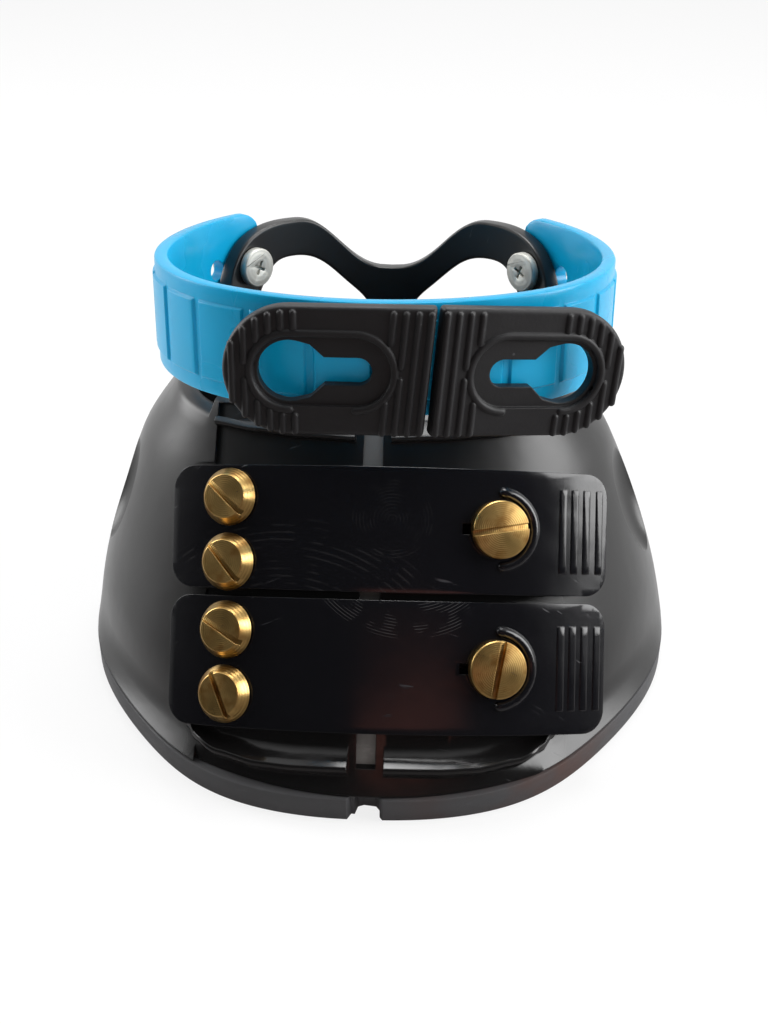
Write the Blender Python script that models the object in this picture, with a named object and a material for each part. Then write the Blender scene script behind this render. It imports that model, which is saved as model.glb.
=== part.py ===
"""Horse hoof boot: a moulded shell with a split toe, two front straps and a pastern band.

Toe toward -Y, ground at Z = 0, metres. The sole is centred on the origin.
"""

import math

import bmesh
import bpy
from mathutils import Matrix, Vector

# Gap kept between pieces that touch
GAP = 0.0003
OVERRUN = 0.030

# Sole outline and shell walls
SOLE_HALF_WIDTH = 0.066
SOLE_HALF_LENGTH = 0.062
SOLE_THICKNESS = 0.0055
SHELL_STEP = 0.0010
SHELL_TOP_Z = 0.070
SHELL_TOP_HALF_WIDTH = 0.049
SHELL_TOP_CENTRE_Y = 0.014
SHELL_TOP_BACK_Y = 0.044
SHELL_WALL = 0.0042
SHELL_FLOOR = 0.0040
SHELL_RIM_ROUND = 0.0010
TOE_SLOPE = math.radians(55)
SOLE_SQUARENESS = 2.3
WALL_SQUARENESS = 2.0
SQUARE_TOE_HEIGHT = 0.0045
SHELL_SEGMENTS = 72
SHELL_COURSES = 7
RIM_DROP_START = math.radians(84)
RIM_DROP_END = math.radians(103)

# Split toe, notch and tread
SLIT_WIDTH = 0.0045
SLIT_BOTTOM_Z = 0.0105
TOE_NOTCH_WIDTH = 0.0072
TOE_NOTCH_DEPTH = 0.0045
TREAD_DEPTH = 0.0022
TREAD_GROOVE = 0.0042
TREAD_PITCH = 0.0200
TREAD_SLANT = math.radians(18)
TREAD_MARGIN = 0.0120
TREAD_ROWS = 5

# Front panel between the two pairs of lips, measured along the sloping wall
PANEL_RADIUS = 0.090
PANEL_DEPTH = 0.0008
PANEL_FROM = 0.0065
PANEL_TO = 0.0730
PANEL_HALF_WIDTH_LOW = 0.0375
PANEL_HALF_WIDTH_HIGH = 0.0335
LIP_RADIUS = 0.0013
LIP_LOW_Z = 0.0098
LIP_HIGH_Z = 0.0665
LIP_CLEAR_OF_SLIT = 0.0016

# Scooped pockets in the side walls
POCKET_CENTRE_Z = 0.043
POCKET_AZIMUTH = math.radians(74)
POCKET_HALF_LENGTH = 0.0085
POCKET_HALF_HEIGHT = 0.0125
POCKET_DEPTH = 0.0022

# Front straps: places across the front and along the wall
STRAP_THICKNESS = 0.0036
STRAP_LEFT = -0.0441
STRAP_RIGHT = 0.0490
STRAP_CORNER = 0.0050
STRAP_EDGE = 0.0005
STRAP_RELIEF = 0.0008
STRAP_FOLD = -0.0228
UPPER_STRAP_LOW = 0.0429
UPPER_STRAP_HIGH = 0.0686
LOWER_STRAP_LOW = 0.0141
LOWER_STRAP_HIGH = 0.0413
SCREW_ACROSS = -0.0305
UPPER_SCREWS = (0.0619, 0.0484)
LOWER_SCREWS = (0.0343, 0.0210)
KNOB_ACROSS = 0.0243
UPPER_KNOB_ALONG = 0.0563
LOWER_KNOB_ALONG = 0.0277
STRAP_HOLE_CLEARANCE = 0.0004
STRAP_HOLE_STRETCH = 0.0032
GRIP_RIBS = 4
GRIP_FIRST = 0.0386
GRIP_PITCH = 0.0027
GRIP_LENGTH = 0.0173
GRIP_RADIUS = 0.0006
RAISED_SINK = 0.00015
KNOB_RIM_RADIUS = 0.0074
KNOB_RIM_THICKNESS = 0.0006
KNOB_RIM_HALF_ANGLE = math.radians(80)

# Brass screws, knobs and their inserts
HEAD_DIAMETER = 0.0120
SCREW_HEAD_HEIGHT = 0.0026
SCREW_HEAD_EDGE = 0.0007
SCREW_CROWN_DIAMETER = 0.0076
SLOT_WIDTH = 0.0011
SLOT_DEPTH = 0.0010
SCREW_SHANK_DIAMETER = 0.0050
KNOB_HEAD_HEIGHT = 0.0024
KNOB_HEAD_EDGE = 0.0003
KNOB_NECK_DIAMETER = 0.0072
SHANK_HOLE_DIAMETER = 0.0058
INSERT_BARREL_DIAMETER = 0.0078
INSERT_FLANGE_DIAMETER = 0.0114
INSERT_FLANGE_THICKNESS = 0.0014
INSERT_SEAT_LEFT = 0.0026
INSERT_HOLE_CLEARANCE = 0.0003
ROUND_SEGMENTS = 24
SCREW_SLOT_TURNS = tuple(math.radians(turn) for turn in (-42, -48, -30, -66))
UPPER_KNOB_TURN = math.radians(9)
LOWER_KNOB_TURN = math.radians(80)

# Pastern band, a ring that leans back, drawn in three arcs a side
BAND_LEAN = math.radians(8.5)
BAND_FRONT_Y = -0.038
BAND_FRONT_Z = 0.094
BAND_THICKNESS = 0.0028
BAND_HEIGHT = 0.022
BAND_FRONT_RADIUS = 0.058
BAND_FRONT_ANGLE = math.radians(30)
BAND_CORNER_RADIUS = 0.037
BAND_END_ANGLE = math.radians(137.5)
BAND_EDGE = 0.0004
BAND_STEP = math.radians(5)
BAND_SCREW_ANGLE = math.radians(130.5)
BAND_SPARE_HOLE_PITCH = 0.0088
BAND_SPARE_HOLE_DIAMETER = 0.0046

# Band screws and nuts
BAND_SCREW_HEAD_DIAMETER = 0.0080
BAND_SCREW_HEAD_HEIGHT = 0.0020
BAND_SCREW_SHANK_DIAMETER = 0.0038
BAND_HOLE_DIAMETER = 0.0046
BAND_NUT_DIAMETER = 0.0100
BAND_NUT_THICKNESS = 0.0018

# Keyhole tabs, each held on the band by its own keeper loop
TAB_JOINT_ALONG = 0.01043
TAB_LOOP_PITCH = 0.00719
TAB_JOINT_ANGLE = TAB_JOINT_ALONG / BAND_FRONT_RADIUS
TAB_LOOP_SPACING = TAB_LOOP_PITCH / BAND_FRONT_RADIUS
TAB_LOOP_WIDTH = 0.0060
TAB_LOOP_WALL = 0.0009
TAB_LOOP_CLEARANCE = 0.0003
TAB_PLATE_THICKNESS = 0.0030
TAB_TOP = 0.0111
TAB_BOTTOM = -0.0138
TAB_LENGTH = 0.0385
TAB_JOINT_SLANT = math.radians(5.2)
TAB_RIGHT_YAW = math.radians(20)
TAB_RIGHT_ROLL = math.radians(5.6)
TAB_HOLE_REACH = 0.0261
TAB_HOLE_LEVEL = -0.0014
TAB_HOLE_DIAMETER = 0.0118
TAB_SLOT_REACH = 0.0108
TAB_SLOT_WIDTH = 0.0052
TAB_END_SEGMENTS = 14
TAB_MIDDLE = (TAB_TOP + TAB_BOTTOM) / 2
TAB_PLATE_BACK = BAND_FRONT_RADIUS + TAB_LOOP_CLEARANCE
TAB_JOINT_X = TAB_PLATE_BACK * math.sin(TAB_JOINT_ANGLE)

# Heel frame: two lobes round open windows, measured on the band's own axis
FRAME_THICKNESS = 0.0036
FRAME_HALF_ANGLE = math.radians(62)
FRAME_LOBE_TOP = 0.0090
FRAME_VALLEY = -0.0035
FRAME_CREST_ANGLE = math.radians(33)
FRAME_SHOULDER_DROP = 0.0220
FRAME_FOOT = -0.0400
FRAME_FLARE_START = -0.0120
FRAME_WINDOW_ANGLE = math.radians(28.5)
FRAME_WINDOW_CENTRE = -0.0130
FRAME_WINDOW_LIMIT = math.radians(48)
FRAME_WINDOW_BOTTOM = -0.0278
FRAME_RAIL = 0.0083
FRAME_STEM_HALF_WIDTH = 0.0050
FRAME_SCREW_MARGIN = 0.0062
FRAME_WINDOW_ROUNDING = 2
FRAME_SHOULDER_POWER = 2.5
FRAME_RAYS = 36
FRAME_COURSES = 3
FRAME_FOOT_HALF_ANGLE = math.radians(71)


def clear_scene():
    for item in list(bpy.data.objects):
        bpy.data.objects.remove(item, do_unlink=True)


def principled(name, colour, roughness, metallic=0.0):
    material = bpy.data.materials.new(name)
    material.use_nodes = True
    shader = material.node_tree.nodes["Principled BSDF"]
    shader.inputs["Base Color"].default_value = (*colour, 1.0)
    shader.inputs["Roughness"].default_value = roughness
    shader.inputs["Metallic"].default_value = metallic
    return material


def add_object(name, mesh_builder):
    """Turns a bmesh into a named object, with its faces pointing out."""
    bmesh.ops.recalc_face_normals(mesh_builder, faces=mesh_builder.faces)
    mesh = bpy.data.meshes.new(name)
    mesh_builder.to_mesh(mesh)
    mesh_builder.free()
    item = bpy.data.objects.new(name, mesh)
    bpy.context.scene.collection.objects.link(item)
    return item


def combine(target, tool, operation):
    """Cuts the tool from the target or joins it on, and removes the tool."""
    modifier = target.modifiers.new(operation, "BOOLEAN")
    modifier.object = tool
    modifier.operation = operation
    modifier.solver = "EXACT"
    graph = bpy.context.evaluated_depsgraph_get()
    result = bpy.data.meshes.new_from_object(target.evaluated_get(graph))
    target.modifiers.remove(modifier)
    target.data = result
    bpy.data.objects.remove(tool, do_unlink=True)


def cut(target, tool):
    combine(target, tool, "DIFFERENCE")


def join(target, tool):
    combine(target, tool, "UNION")


def finish(item, material):
    """Gives a finished piece its one material and smooth round faces."""
    item.data.materials.clear()
    item.data.materials.append(material)
    for face in item.data.polygons:
        face.material_index = 0
    item.data.shade_smooth()
    item.data.set_sharp_from_angle(angle=math.radians(35))
    return item


def loft(rings):
    """A closed solid through rings of equal count, with flat ends."""
    builder = bmesh.new()
    rows = [[builder.verts.new(point) for point in ring] for ring in rings]
    count = len(rows[0])
    for lower, upper in zip(rows, rows[1:]):
        for index in range(count):
            after = (index + 1) % count
            builder.faces.new((lower[index], lower[after], upper[after], upper[index]))
    builder.faces.new(rows[0])
    builder.faces.new(rows[-1])
    return builder


def turned(profile, segments=ROUND_SEGMENTS):
    """A turned solid about Z from (radius, height) points, on the axis or bored through."""
    builder = bmesh.new()
    bored = profile[0][0] > 0
    rows = []
    for radius, height in profile:
        if radius > 0:
            angles = [math.tau * index / segments for index in range(segments)]
            points = [Vector((radius * math.cos(a), radius * math.sin(a), height)) for a in angles]
        else:
            points = [Vector((0, 0, height))]
        rows.append([builder.verts.new(point) for point in points])
    pairs = list(zip(rows, rows[1:]))
    if bored:
        pairs.append((rows[-1], rows[0]))
    for lower, upper in pairs:
        for index in range(segments):
            after = (index + 1) % segments
            corners = [lower[index % len(lower)], lower[after % len(lower)]]
            corners += [upper[after % len(upper)], upper[index % len(upper)]]
            unique = list(dict.fromkeys(corners))
            builder.faces.new(unique)
    return builder


def box(size, centre):
    builder = bmesh.new()
    bmesh.ops.create_cube(builder, size=1.0)
    bmesh.ops.scale(builder, vec=size, verts=builder.verts)
    bmesh.ops.translate(builder, vec=centre, verts=builder.verts)
    return builder


def bead(points, radius, ups, sides=8):
    """A round bead along points, each with its own up direction."""
    rings = []
    for index, point in enumerate(points):
        ahead = points[min(index + 1, len(points) - 1)]
        behind = points[max(index - 1, 0)]
        along = (ahead - behind).normalized()
        side = along.cross(ups[index]).normalized()
        up = side.cross(along).normalized()
        angles = [math.tau * step / sides for step in range(sides)]
        rings.append([point + side * radius * math.cos(a) + up * radius * math.sin(a) for a in angles])
    return loft(rings)


def smoothstep(share):
    held = max(0.0, min(1.0, share))
    return held * held * (3.0 - 2.0 * held)


def smootherstep(share):
    return share**3 * (share * (6 * share - 15) + 10)


def blend(first, second, share):
    return first + (second - first) * share


def power(value, exponent):
    return math.copysign(abs(value) ** exponent, value)


# Sole and shell outlines

def shell_share(z):
    return (z - SOLE_THICKNESS) / (SHELL_TOP_Z - SOLE_THICKNESS)


def shell_front_y(z):
    return -SOLE_HALF_LENGTH + (z - SOLE_THICKNESS) / math.tan(TOE_SLOPE)


def shell_point(angle, z, inset=0.0):
    """A point of the shell wall; angle 0 is the toe and half a turn the heel."""
    share = shell_share(z)
    centre_y = blend(0.0, SHELL_TOP_CENTRE_Y, share)
    half_width = blend(SOLE_HALF_WIDTH, SHELL_TOP_HALF_WIDTH, share) - inset
    back_y = blend(SOLE_HALF_LENGTH, SHELL_TOP_BACK_Y, share)
    front = centre_y - shell_front_y(z) - inset / math.sin(TOE_SLOPE)
    back = back_y - centre_y - inset
    forward = math.cos(angle)
    squareness = WALL_SQUARENESS
    if forward > 0:
        above = smoothstep((z - SOLE_THICKNESS) / SQUARE_TOE_HEIGHT)
        squareness = blend(SOLE_SQUARENESS, WALL_SQUARENESS, above)
    length = front if forward > 0 else back
    x = half_width * power(math.sin(angle), 2.0 / squareness)
    y = centre_y - length * power(forward, 2.0 / squareness)
    return Vector((x, y, z))


def ring_angles(count):
    return [math.tau * index / count for index in range(count)]


# Band frame: a ring that leans back about the X axis

BAND_AXIS = Vector((0, math.sin(BAND_LEAN), math.cos(BAND_LEAN)))
BAND_BACKWARD = Vector((0, math.cos(BAND_LEAN), -math.sin(BAND_LEAN)))
BAND_ORIGIN = Vector((0, BAND_FRONT_Y, BAND_FRONT_Z))
CORNER_OFFSET = BAND_FRONT_RADIUS - BAND_CORNER_RADIUS
CORNER_X = CORNER_OFFSET * math.sin(BAND_FRONT_ANGLE)
BACK_CENTRE = BAND_FRONT_RADIUS - CORNER_OFFSET * math.cos(BAND_FRONT_ANGLE)
BACK_RADIUS = CORNER_X + BAND_CORNER_RADIUS


def band_world(x, backward, height):
    return BAND_ORIGIN + Vector((x, 0, 0)) + BAND_BACKWARD * backward + BAND_AXIS * height


def band_point(angle, offset, height):
    """A point at an offset from the band's outer face; angle 0 is the front."""
    size = abs(angle)
    side = math.copysign(1.0, angle)
    if size <= BAND_FRONT_ANGLE:
        centre_x, centre_y, radius = 0.0, BAND_FRONT_RADIUS, BAND_FRONT_RADIUS
    elif size <= math.pi / 2:
        centre_x, centre_y, radius = CORNER_X, BACK_CENTRE, BAND_CORNER_RADIUS
    else:
        centre_x, centre_y, radius = 0.0, BACK_CENTRE, BACK_RADIUS
    x = side * (centre_x + (radius + offset) * math.sin(size))
    backward = centre_y - (radius + offset) * math.cos(size)
    return band_world(x, backward, height)


def band_matrix(angle, offset=0.0):
    """A frame on the band: X along it, Y its inward normal, Z its axis."""
    inward = (band_point(angle, 0.0, 0.0) - band_point(angle, GAP, 0.0)).normalized()
    along = inward.cross(BAND_AXIS)
    rows = Matrix((along, inward, BAND_AXIS)).transposed().to_4x4()
    rows.translation = band_point(angle, offset, 0.0)
    return rows


def heel_plane_z(y):
    """Height of the plane, square to the band's axis, where the heel frame's foot stands."""
    drop = FRAME_FOOT - (y - BAND_FRONT_Y) * math.sin(BAND_LEAN)
    return BAND_FRONT_Z + drop / math.cos(BAND_LEAN)


def foot_z(angle):
    """Height of the wall where it meets the heel plane at this angle."""
    z = SHELL_TOP_Z
    for _ in range(6):
        z = heel_plane_z(shell_point(angle, z).y)
    return z


def rim_z(angle):
    turn = abs((angle + math.pi) % math.tau - math.pi)
    if turn <= RIM_DROP_START:
        return SHELL_TOP_Z
    low = foot_z(angle) - GAP
    share = (turn - RIM_DROP_START) / (RIM_DROP_END - RIM_DROP_START)
    return blend(SHELL_TOP_Z, low, smoothstep(share))


# Front wall frame: across the front, along the slope, and lifted off it

def wall_point(across, along, lift):
    angle = across / PANEL_RADIUS
    x = (PANEL_RADIUS + lift) * math.sin(angle)
    out = (PANEL_RADIUS + lift) * math.cos(angle) - PANEL_RADIUS
    y = -SOLE_HALF_LENGTH + along * math.cos(TOE_SLOPE) - out * math.sin(TOE_SLOPE)
    z = SOLE_THICKNESS + along * math.sin(TOE_SLOPE) + out * math.cos(TOE_SLOPE)
    return Vector((x, y, z))


def wall_matrix(across, along, lift):
    """A frame on the front wall: X across, Y up the slope, Z outward."""
    angle = across / PANEL_RADIUS
    upward = Vector((0, math.cos(TOE_SLOPE), math.sin(TOE_SLOPE)))
    front = Vector((0, -math.sin(TOE_SLOPE), math.cos(TOE_SLOPE)))
    outward = Vector((1, 0, 0)) * math.sin(angle) + front * math.cos(angle)
    sideways = upward.cross(outward)
    rows = Matrix((sideways, upward, outward)).transposed().to_4x4()
    rows.translation = wall_point(across, along, lift)
    return rows


STRAP_BACK = GAP - PANEL_DEPTH
STRAP_FRONT = STRAP_BACK + STRAP_THICKNESS
INSERT_SEAT = -PANEL_DEPTH - INSERT_SEAT_LEFT


def moved(builder, matrix):
    bmesh.ops.transform(builder, matrix=matrix, verts=builder.verts)
    return builder


def add_moved(name, builder, matrix):
    return add_object(name, moved(builder, matrix))


# Shell

def shell_body():
    """Outer wall, rounded rim, inner wall and floor as one lofted body."""
    base = SOLE_THICKNESS + GAP
    floor = base + SHELL_FLOOR
    angles = ring_angles(SHELL_SEGMENTS)
    rings = [[shell_point(angle, base, SHELL_STEP) for angle in angles]]
    for course in range(SHELL_COURSES + 1):
        share = course / SHELL_COURSES
        tops = [rim_z(angle) - SHELL_RIM_ROUND for angle in angles]
        rings.append([shell_point(a, blend(base + SHELL_STEP, top, share)) for a, top in zip(angles, tops)])
    rings.append([shell_point(a, rim_z(a), SHELL_RIM_ROUND) for a in angles])
    rings.append([shell_point(a, rim_z(a), SHELL_WALL - SHELL_RIM_ROUND) for a in angles])
    for course in range(SHELL_COURSES + 1):
        share = 1 - course / SHELL_COURSES
        tops = [rim_z(angle) - SHELL_RIM_ROUND for angle in angles]
        rings.append([shell_point(a, blend(floor, top, share), SHELL_WALL) for a, top in zip(angles, tops)])
    return add_object("shell", loft(rings))


def panel_cutter(low, low_half_width, high, high_half_width):
    """The space over the front panel between two heights on the slope."""
    steps = 16
    rings = []
    for along, half_width in ((low, low_half_width), (high, high_half_width)):
        places = [blend(-half_width, half_width, index / steps) for index in range(steps + 1)]
        ring = [wall_point(place, along, -PANEL_DEPTH) for place in places]
        ring += [wall_point(place, along, OVERRUN) for place in reversed(places)]
        rings.append(ring)
    return add_object("panel_cutter", loft(rings))


def lip(side, z):
    """A raised lip along one side of the panel, from the slit round to the panel's end."""
    half_width = PANEL_HALF_WIDTH_LOW if z < SHELL_TOP_Z / 2 else PANEL_HALF_WIDTH_HIGH
    first = SLIT_WIDTH / 2 + LIP_CLEAR_OF_SLIT
    steps = 10
    points = []
    for index in range(steps + 1):
        wanted = blend(first, half_width, index / steps)
        low, high = 0.0, math.pi / 2
        for _ in range(30):
            middle = (low + high) / 2
            if shell_point(middle, z).x < wanted:
                low = middle
            else:
                high = middle
        points.append(shell_point(side * low, z))
    up = Vector((0, 0, 1))
    return add_object("lip", bead(points, LIP_RADIUS, [up] * len(points)))


def pocket_cutter(side):
    """A scoop sunk into the side wall."""
    centre = shell_point(side * POCKET_AZIMUTH, POCKET_CENTRE_Z)
    beside = shell_point(side * (POCKET_AZIMUTH + BAND_STEP), POCKET_CENTRE_Z)
    above = shell_point(side * POCKET_AZIMUTH, POCKET_CENTRE_Z + POCKET_DEPTH)
    along = (beside - centre).normalized()
    outward = along.cross(above - centre).normalized() * side
    if outward.x * side < 0:
        outward.negate()
    upward = outward.cross(along).normalized()
    builder = bmesh.new()
    bmesh.ops.create_uvsphere(builder, u_segments=16, v_segments=10, radius=1.0)
    sizes = Vector((POCKET_HALF_LENGTH, POCKET_HALF_HEIGHT, POCKET_DEPTH * 2))
    bmesh.ops.scale(builder, vec=sizes, verts=builder.verts)
    rows = Matrix((along, upward, outward)).transposed().to_4x4()
    rows.translation = centre + outward * POCKET_DEPTH
    return add_moved("pocket_cutter", builder, rows)


def insert_hole(across, along):
    """The stepped hole for a threaded insert: barrel bore and flat seat inside the wall."""
    bore = INSERT_BARREL_DIAMETER / 2 + INSERT_HOLE_CLEARANCE
    seat = INSERT_FLANGE_DIAMETER / 2 + INSERT_HOLE_CLEARANCE
    depth = OVERRUN / 3
    profile = [(0, depth), (bore, depth), (bore, INSERT_SEAT), (seat, INSERT_SEAT)]
    profile += [(seat, INSERT_SEAT - depth), (0, INSERT_SEAT - depth)]
    return add_moved("insert_hole", turned(profile), wall_matrix(across, along, 0.0))


def make_shell(material):
    shell = shell_body()
    cut(shell, panel_cutter(PANEL_FROM, PANEL_HALF_WIDTH_LOW, PANEL_TO, PANEL_HALF_WIDTH_HIGH))
    reach = STRAP_RIGHT + STRAP_RELIEF
    cut(shell, panel_cutter(LOWER_STRAP_LOW - STRAP_RELIEF, reach, UPPER_STRAP_HIGH + STRAP_RELIEF, reach))
    for side in (-1, 1):
        join(shell, lip(side, LIP_LOW_Z))
        join(shell, lip(side, LIP_HIGH_Z))
        cut(shell, pocket_cutter(side))
    slit_height = SHELL_TOP_Z + OVERRUN - SLIT_BOTTOM_Z
    slit_centre = (0, -SOLE_HALF_LENGTH, SLIT_BOTTOM_Z + slit_height / 2)
    slit = box((SLIT_WIDTH, 2 * SOLE_HALF_LENGTH, slit_height), slit_centre)
    cut(shell, add_object("slit", slit))
    for along in UPPER_SCREWS + LOWER_SCREWS:
        cut(shell, insert_hole(SCREW_ACROSS, along))
    for along in (UPPER_KNOB_ALONG, LOWER_KNOB_ALONG):
        cut(shell, insert_hole(KNOB_ACROSS, along))
    return finish(shell, material)


# Outsole

def tread_groove(side, row):
    """One slanted groove across half of the tread."""
    middle = (row - (TREAD_ROWS - 1) / 2) * TREAD_PITCH
    reach = SOLE_HALF_WIDTH - TREAD_MARGIN
    builder = box((reach, TREAD_GROOVE, 2 * TREAD_DEPTH), (side * (reach / 2 + TREAD_MARGIN / 2), 0, 0))
    turn = Matrix.Translation((0, middle, 0)) @ Matrix.Rotation(side * TREAD_SLANT, 4, "Z")
    return add_moved("tread_groove", builder, turn)


def make_outsole(material):
    angles = ring_angles(SHELL_SEGMENTS)
    edge = SHELL_STEP
    flat = SOLE_THICKNESS
    rings = []
    for z, inset in ((0.0, edge), (edge, 0.0), (flat - edge, 0.0), (flat, edge)):
        outline = [shell_point(angle, flat, inset) for angle in angles]
        rings.append([Vector((point.x, point.y, z)) for point in outline])
    outsole = add_object("outsole", loft(rings))
    notch = (TOE_NOTCH_WIDTH, 2 * TOE_NOTCH_DEPTH, 4 * SOLE_THICKNESS)
    cut(outsole, add_object("notch", box(notch, (0, -SOLE_HALF_LENGTH, 0))))
    for side in (-1, 1):
        for row in range(TREAD_ROWS):
            cut(outsole, tread_groove(side, row))
    return finish(outsole, material)


# Straps

def strap_half_trim(distance):
    """How far a rounded corner draws the edge in, this far from the strap's end."""
    if distance >= STRAP_CORNER:
        return 0.0
    beyond = STRAP_CORNER - distance
    return STRAP_CORNER - math.sqrt(max(0.0, STRAP_CORNER**2 - beyond**2))


def strap_slab(name, start, end, low, high, round_start, round_end):
    """A strip of strap bent round the front, with rounded ends where asked."""
    corner_steps = 6
    body_steps = 8
    trims = [STRAP_CORNER * (1 - math.cos(math.pi / 2 * i / corner_steps)) for i in range(corner_steps + 1)]
    places = []
    first = start + STRAP_CORNER if round_start else start
    last = end - STRAP_CORNER if round_end else end
    if round_start:
        places += [start + trim for trim in trims[:-1]]
    places += [blend(first, last, index / body_steps) for index in range(body_steps + 1)]
    if round_end:
        places += [end - trim for trim in reversed(trims[:-1])]
    rings = []
    for place in places:
        trim = 0.0
        if round_start:
            trim = max(trim, strap_half_trim(place - start))
        if round_end:
            trim = max(trim, strap_half_trim(end - place))
        bottom, top = low + trim, high - trim
        corners = [(bottom, STRAP_BACK), (top, STRAP_BACK), (top, STRAP_FRONT - STRAP_EDGE)]
        corners += [(top - STRAP_EDGE, STRAP_FRONT), (bottom + STRAP_EDGE, STRAP_FRONT)]
        corners += [(bottom, STRAP_FRONT - STRAP_EDGE)]
        rings.append([wall_point(place, along, lift) for along, lift in corners])
    return add_object(name, loft(rings))


def strap_anchor(name, low, high, screws, material):
    """The fixed end of a strap, under its two screws."""
    anchor = strap_slab(name, STRAP_LEFT, STRAP_FOLD - GAP, low, high, True, False)
    radius = SHANK_HOLE_DIAMETER / 2
    for along in screws:
        hole = turned([(0, -OVERRUN), (radius, -OVERRUN), (radius, OVERRUN), (0, OVERRUN)])
        cut(anchor, add_moved("hole", hole, wall_matrix(SCREW_ACROSS, along, 0.0)))
    return finish(anchor, material)


def stretched_hole(along):
    """The buttonhole as it stretches over the knob, longer toward the fold."""
    radius = HEAD_DIAMETER / 2 + STRAP_HOLE_CLEARANCE
    outline = []
    for index in range(ROUND_SEGMENTS):
        angle = math.tau * (index + 0.5) / ROUND_SEGMENTS
        shift = STRAP_HOLE_STRETCH if math.cos(angle) < 0 else 0.0
        outline.append((radius * math.cos(angle) - shift, radius * math.sin(angle)))
    depth = OVERRUN / 2
    rings = [[Vector((x, y, lift)) for x, y in outline] for lift in (-depth, depth)]
    return add_moved("stretched_hole", loft(rings), wall_matrix(KNOB_ACROSS, along, 0.0))


def knob_rim(along):
    """The raised C on the far side of the knob."""
    steps = 12
    points = []
    ups = []
    for index in range(steps + 1):
        angle = blend(-KNOB_RIM_HALF_ANGLE, KNOB_RIM_HALF_ANGLE, index / steps)
        across = KNOB_ACROSS + KNOB_RIM_RADIUS * math.cos(angle)
        up_slope = along + KNOB_RIM_RADIUS * math.sin(angle)
        points.append(wall_point(across, up_slope, STRAP_FRONT - RAISED_SINK))
        ups.append(wall_matrix(across, up_slope, 0.0).col[2].to_3d())
    return add_object("knob_rim", bead(points, KNOB_RIM_THICKNESS, ups, sides=6))


def grip_rib(across, middle):
    lift = STRAP_FRONT - RAISED_SINK
    ends = (middle - GRIP_LENGTH / 2, middle + GRIP_LENGTH / 2)
    points = [wall_point(across, end, lift) for end in ends]
    up = wall_matrix(across, middle, 0.0).col[2].to_3d()
    return add_object("grip_rib", bead(points, GRIP_RADIUS, [up, up], sides=6))


def strap_flap(name, low, high, knob_along, material):
    """The free end of a strap, with its hole, rim and grip ribs; it turns on the fold."""
    flap = strap_slab(name, STRAP_FOLD, STRAP_RIGHT, low, high, False, True)
    cut(flap, stretched_hole(knob_along))
    join(flap, knob_rim(knob_along))
    for index in range(GRIP_RIBS):
        join(flap, grip_rib(GRIP_FIRST + index * GRIP_PITCH, knob_along))
    finish(flap, material)
    fold = wall_matrix(STRAP_FOLD - GAP / 2, (low + high) / 2, STRAP_FRONT)
    flap.data.transform(fold.inverted())
    flap.matrix_world = fold
    return flap


# Screws, knobs and inserts

def slot_cutter(turn, top, place):
    size = (2 * HEAD_DIAMETER, SLOT_WIDTH, 2 * SLOT_DEPTH)
    builder = box(size, (0, 0, top))
    return add_moved("slot_cutter", builder, place @ Matrix.Rotation(turn, 4, "Z"))


def strap_screw(name, along, turn, material):
    """A slotted screw with a wide cone round its flat crown."""
    radius = HEAD_DIAMETER / 2
    crown = SCREW_CROWN_DIAMETER / 2
    shank = SCREW_SHANK_DIAMETER / 2
    seat = STRAP_FRONT + GAP
    top = seat + SCREW_HEAD_HEIGHT
    tip = INSERT_SEAT - INSERT_FLANGE_THICKNESS
    profile = [(0, top), (crown, top), (radius, seat + SCREW_HEAD_EDGE), (radius, seat)]
    profile += [(shank, seat), (shank, tip), (0, tip)]
    place = wall_matrix(SCREW_ACROSS, along, 0.0)
    screw = add_moved(name, turned(profile), place)
    cut(screw, slot_cutter(turn, top, place))
    return finish(screw, material)


def strap_knob(name, along, turn, material):
    """The flat slotted stud that the strap's hole is pressed over."""
    radius = HEAD_DIAMETER / 2
    neck = KNOB_NECK_DIAMETER / 2
    shank = SCREW_SHANK_DIAMETER / 2
    seat = STRAP_FRONT + GAP
    top = seat + KNOB_HEAD_HEIGHT
    tip = INSERT_SEAT - INSERT_FLANGE_THICKNESS
    profile = [(0, top), (radius - KNOB_HEAD_EDGE, top), (radius, top - KNOB_HEAD_EDGE)]
    profile += [(radius, seat), (neck, seat), (neck, STRAP_BACK)]
    profile += [(shank, STRAP_BACK), (shank, tip), (0, tip)]
    place = wall_matrix(KNOB_ACROSS, along, 0.0)
    knob = add_moved(name, turned(profile), place)
    cut(knob, slot_cutter(turn, top, place))
    return finish(knob, material)


def threaded_insert(name, across, along, material):
    """The flanged insert that a screw or a knob is turned into from the front."""
    bore = SCREW_SHANK_DIAMETER / 2 + GAP
    barrel = INSERT_BARREL_DIAMETER / 2
    flange = INSERT_FLANGE_DIAMETER / 2
    seat = INSERT_SEAT - GAP
    profile = [(bore, -PANEL_DEPTH), (barrel, -PANEL_DEPTH), (barrel, seat), (flange, seat)]
    profile += [(flange, seat - INSERT_FLANGE_THICKNESS), (bore, seat - INSERT_FLANGE_THICKNESS)]
    return finish(add_moved(name, turned(profile), wall_matrix(across, along, 0.0)), material)


# Pastern band and its screws

def radial_matrix(angle, offset):
    """A frame whose Z is the band's outward normal."""
    frame = band_matrix(angle, offset)
    return frame @ Matrix.Rotation(math.pi / 2, 4, "X")


def radial_hole(angle, diameter, target):
    radius = diameter / 2
    reach = OVERRUN / 3
    hole = turned([(0, reach), (radius, reach), (radius, -reach), (0, -reach)], 20)
    cut(target, add_moved("hole", hole, radial_matrix(angle, 0.0)))


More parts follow.
